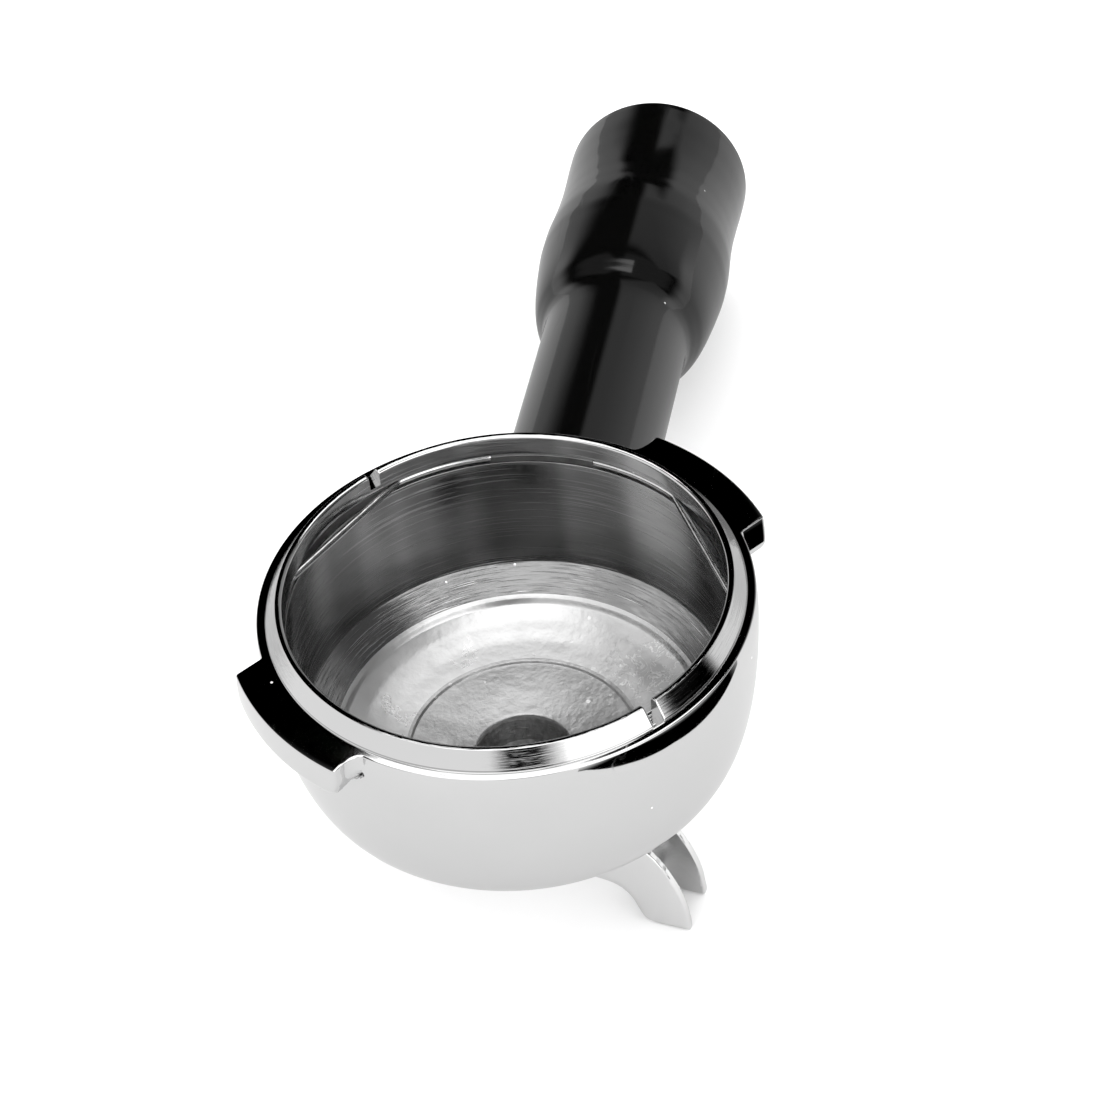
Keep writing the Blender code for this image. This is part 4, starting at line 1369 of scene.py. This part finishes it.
def make_stud():
    side = [
        (4.6, STUD_END),
        (5.0, STUD_END - 0.05, 0.1),
        (STUD_R, 68.9),
        (STUD_R, 37.0),
        (5.0, 35.9, 0.1),
        (4.6, STUD_START),
    ]
    stud = turned(
        "handle_stud_m12",
        [(0, STUD_END), *rounded(side, step=0.16).tolist(), (0, STUD_START)],
        72,
        zinc,
        HANDLE_AXES,
        radial=threaded(STUD_R, M12_PITCH, deep=0.85, start=36.4, end=69.2),
        closed=False,
        sharp=45.0,
    )
    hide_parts("handle_stud")
    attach(stud, "bowl")


def make_washer():
    """One turn of square wire, cut through and sprung apart a little."""
    corners = (
        (WASHER_OUT, WASHER_HIGH),
        (WASHER_OUT, WASHER_LOW),
        (WASHER_IN, WASHER_LOW),
        (WASHER_IN, WASHER_HIGH),
    )
    section = rounded([(*corner, WASHER_CORNER) for corner in corners], step=0.6, closed=True)
    angles = np.radians(np.linspace(8.0, 354.0, 120))
    rings = []
    for i, angle in enumerate(angles):
        lift = WASHER_SPRING * (2 * i / (len(angles) - 1) - 1)
        spoke = math.cos(angle) * GRIP_X + math.sin(angle) * GRIP_UP
        rings.append(GRIP_ORIGIN + (section[:, 1:2] + lift) * GRIP_AXIS + section[:, 0:1] * spoke)
    tips = (rings[0].mean(0), rings[-1].mean(0))
    washer = capped("handle_spring_washer", rings, tips, [zinc], sharp=40.0)
    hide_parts("handle_washer")
    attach(washer, "washer")


def insert_surface(radius, height, angle):
    """The insert's thread inside and its ribs outside."""
    thread = threaded(INSERT_BORE_R, M12_PITCH, deep=0.8, start=49.2, end=68.6, inner=True)
    radius = thread(radius, height, angle)
    ribs = 0.22 * np.abs(np.sin(angle * 20))
    on = (radius > 7.6) & (height > 48.7) & (height < 68.6)
    return np.where(on, radius - ribs, radius)


def make_insert():
    """A brass sleeve with a waist round its outside."""
    section = [
        (INSERT_R, INSERT_END, 0.2),
        (INSERT_R, 60.3, 0.1),
        (INSERT_WAIST_R, 59.5, 0.2),
        (INSERT_WAIST_R, 57.7, 0.2),
        (INSERT_R, 56.9, 0.1),
        (INSERT_R, INSERT_START, 0.2),
        (6.65, INSERT_START, 0.1),
        (INSERT_BORE_R, 48.9, 0.1),
        (INSERT_BORE_R, INSERT_END, 0.1),
    ]
    insert = turned(
        "handle_brass_insert",
        rounded(section, step=0.24, closed=True),
        120,
        brass,
        HANDLE_AXES,
        radial=insert_surface,
        sharp=45.0,
    )
    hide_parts("handle_insert")
    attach(insert, "grip")


def make_grip():
    """The moulding, from the hollow over the outside to the insert's socket."""
    section = [
        (0, 105.0),
        *rounded(GRIP_HOLLOW, step=1.2)[:-1].tolist(),
        (15.3, 156.8),
        *rounded(GRIP_END, step=0.25)[1:].tolist(),
        *hermite(GRIP_KNOTS, 240)[::-1][1:].tolist(),
        *rounded(GRIP_SOCKET, step=0.7)[1:].tolist(),
        (0, 75.5),
    ]
    grip = turned(
        "handle_grip_moulding", section, 168, grip_black, HANDLE_AXES, closed=False, sharp=50.0
    )
    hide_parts("handle_grip")
    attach(grip, "grip")


def make_plug():
    dome = [
        (radius, PLUG_TOP - PLUG_DOME * (radius / PLUG_DOME_R) ** 2)
        for radius in np.linspace(0.8, PLUG_DOME_R, 26)
    ]
    skirt = rounded(PLUG_SKIRT, step=0.7)[1:].tolist()
    section = [(0, PLUG_TOP), *dome, *skirt, (0, PLUG_INSIDE)]
    plug = turned(
        "handle_end_plug_domed", section, 144, plug_black, HANDLE_AXES, closed=False, sharp=45.0
    )
    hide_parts("handle_end_plug")
    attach(plug, "grip")


make_stud()
make_washer()
make_insert()
make_grip()
make_plug()

# ====================================================================== stage
FLOOR_LINES = (-3.0, -0.8, -0.3, 0.0, 0.3, 0.8, 3.0)  # metres


def make_floor():
    z = CAD_LOW.z - 0.0002
    count = len(FLOOR_LINES)
    points = [(x, y, z) for y in FLOOR_LINES for x in FLOOR_LINES]
    faces = [
        (j * count + i, j * count + i + 1, (j + 1) * count + i + 1, (j + 1) * count + i)
        for j in range(count - 1)
        for i in range(count - 1)
    ]
    mesh = bpy.data.meshes.new("floor")
    mesh.from_pydata(points, [], faces)
    floor = link_object("floor", mesh)
    m = Surface("floor_paper")
    mirrored = m.node("ShaderNodeLightPath").outputs["Is Glossy Ray"]
    # Mirrors see less light towards +Y.
    seen = m.span(m.split(m.place)[1], between=(0.03, 0.14), to=(0.62, 0.40), smooth=True)
    color = m.mix(mirrored, 0.93, seen)
    mesh.materials.append(m.finish(color=color, rough=0.9, metal=0.0, spec=0.1))


make_floor()

# ------------------------------------------------------------------- the room
# Azimuth 0 is +Y and 90 is +X. Azimuths are shifted before they are compared,
# which puts the seam of the angle at -110 degrees.
AZIMUTH_SHIFT = 110.0
DIFFUSE_LEVEL = 1.9


def make_world():
    """Mirrors see the studio's panels, a dark gap at +Y and a dark place at the
    camera; everything else is lit by one even white dome."""
    world = bpy.data.worlds.new("studio")
    bpy.context.scene.world = world
    world.use_nodes = True
    w = Nodes(world.node_tree, "Generated")
    x, y, z = w.split(w.place)
    degrees = 180.0 / math.pi
    elevation = w.times(w.math("ARCSINE", z), degrees)
    azimuth = w.total((w.math("ARCTAN2", x, y), degrees), 360.0 + AZIMUTH_SHIFT)
    azimuth = w.math("FLOORED_MODULO", azimuth, 360.0)

    def sector(first, last, soft=6.0):
        return w.window(azimuth, first + AZIMUTH_SHIFT, last + AZIMUTH_SHIFT, soft)

    def below(limit, soft=4.0):
        return w.fall(elevation, limit, soft)

    # A low band all round, with a gap at +X and a dimmer stretch at +Y.
    horizon = w.times(below(17.0, soft=9.0), 1.0)
    horizon = w.without(horizon, sector(first=74.0, last=104.0, soft=3.0))
    horizon = w.without(horizon, w.times(sector(first=-44.0, last=42.0, soft=8.0), 0.55))
    # The front, from -Y round to -X, across the seam.
    front = w.largest(
        w.rise(azimuth, centre=146.0 + AZIMUTH_SHIFT, soft=6.0),
        w.fall(azimuth, centre=-71.0 + AZIMUTH_SHIFT, soft=5.0),
    )
    front = w.times(w.times(front, below(62.0)), 1.1)
    # The brightest panel, between +X and -Y.
    key = w.times(w.times(sector(first=104.0, last=150.0), below(60.0)), 2.2)
    # A panel between +Y and +X, dimmer with height.
    back = w.times(
        w.times(sector(first=0.0, last=62.0, soft=3.0), below(47.0, soft=5.0)),
        w.span(elevation, between=(8.0, 32.0), to=(0.5, 0.30)),
    )
    # A faint light overhead, bounded by a straight line towards +Y.
    slant = w.math("DIVIDE", y, w.largest(z, 0.05))
    overhead = w.window(slant, first=-9.0, last=0.65, soft=0.15)
    overhead = w.times(w.times(overhead, w.rise(z, centre=0.45, soft=0.15)), 0.16)
    overhead = w.without(overhead, sector(first=-26.0, last=2.0, soft=5.0))
    strength = w.largest(w.largest(horizon, front), w.largest(key, w.largest(back, overhead)))

    # The dark gap, wider low down.
    gap = w.times(
        sector(first=-19.0, last=1.0, soft=4.0), w.rise(elevation, centre=14.5, soft=2.5)
    )
    low_gap = w.times(
        sector(first=-19.0, last=14.0, soft=4.0),
        w.window(elevation, first=12.0, last=22.0, soft=2.0),
    )
    strength = w.without(strength, w.largest(gap, low_gap))

    # The camera and the person behind it.
    person = w.times(
        sector(first=155.0, last=177.0, soft=4.0),
        w.window(elevation, first=24.0, last=48.0, soft=3.0),
    )
    turn, tilt = math.radians(163.7), math.radians(45.0)
    toward = (math.sin(turn) * math.cos(tilt), math.cos(turn) * math.cos(tilt), math.sin(tilt))
    facing = w.vector("DOT_PRODUCT", w.place, toward)["Value"]
    patch = (math.cos(math.radians(10.0)), math.cos(math.radians(7.0)))  # outer, inner
    person = w.largest(person, w.span(facing, between=patch, smooth=True))
    strength = w.without(strength, person)

    glossy = w.node("ShaderNodeLightPath").outputs["Is Glossy Ray"]
    strength = w.total((strength, glossy), (w.minus(1.0, glossy), DIFFUSE_LEVEL))
    background = world.node_tree.nodes["Background"]
    w.put(background.inputs["Strength"], strength)
    background.inputs["Color"].default_value = (1.0, 1.0, 1.0, 1.0)
    if hasattr(world, "cycles"):  # absent when Cycles is not enabled
        world.cycles.sampling_method = "NONE"


make_world()


def panel(name, outline, z, level, fade=None):
    """A level light box or black flag that only mirrors see. Its outline is
    (x, y) in mm. A fade gives (axis, start, end, from, to) steps of its alpha."""
    mesh = bpy.data.meshes.new(name)
    points = [(x * MM, y * MM, z * MM + RIM * MM) for x, y in outline]
    mesh.from_pydata(points, [], [tuple(range(len(outline)))])
    m = Surface(name)
    m.bsdf.inputs["Emission Color"].default_value = (1.0, 1.0, 1.0, 1.0)
    m.finish(color=0.0, rough=1.0, metal=0.0, spec=0.0)
    m.bsdf.inputs["Emission Strength"].default_value = level
    if fade:
        place = m.split(m.place)
        alpha = None
        for axis, start, end, *to in fade:
            part = m.span(place[axis], (start * MM, end * MM), to, smooth=True)
            alpha = part if alpha is None else m.times(alpha, part)
        m.put(m.bsdf.inputs["Alpha"], alpha)
    if hasattr(m.material, "cycles"):  # absent when Cycles is not enabled
        m.material.cycles.emission_sampling = "NONE"
    mesh.materials.append(m.material)
    obj = link_object(name, mesh)
    obj.visible_camera = obj.visible_diffuse = obj.visible_shadow = False
    obj.visible_transmission = False


panel(
    "overhead_softbox",
    outline=((-92, -180), (65, -180), (65, 195), (-92, 186)),
    z=240,
    level=2.0,
)
panel(
    "side_flag",
    outline=(
        (62, -98), (130, -190), (260, -120), (200, 60), (86, 34), (84, -28), (76, -60)
    ),
    z=TIP_Z + 0.6,
    level=0.0,
    fade=((0, 104, 150, 1.0, 0.0), (1, -125, -85, 0.0, 1.0), (1, 24, 52, 1.0, 0.0)),
)

# --------------------------------------------------------------------- camera
CAMERA_PLACE = (0.065209, -0.254062, 0.244386 + RIM * MM)
CAMERA_RIGHT = Vector((0.98515225, 0.15328902, -0.07731439))
CAMERA_UP = Vector((-0.0477339, 0.67713702, 0.73430711))
CAMERA_BACK = Vector((0.16491365, -0.71971379, 0.67440014))  # away from what it sees


def make_camera():
    data = bpy.data.cameras.new("camera")
    camera = link_object("camera", data)
    data.sensor_width = 36.0
    data.lens = 85.0909091
    data.clip_start, data.clip_end = 0.01, 20.0
    rows = zip(CAMERA_RIGHT, CAMERA_UP, CAMERA_BACK, CAMERA_PLACE)
    camera.matrix_world = Matrix((*rows, (0, 0, 0, 1)))
    bpy.context.scene.camera = camera


make_camera()
bpy.context.scene.view_settings.view_transform = "Standard"
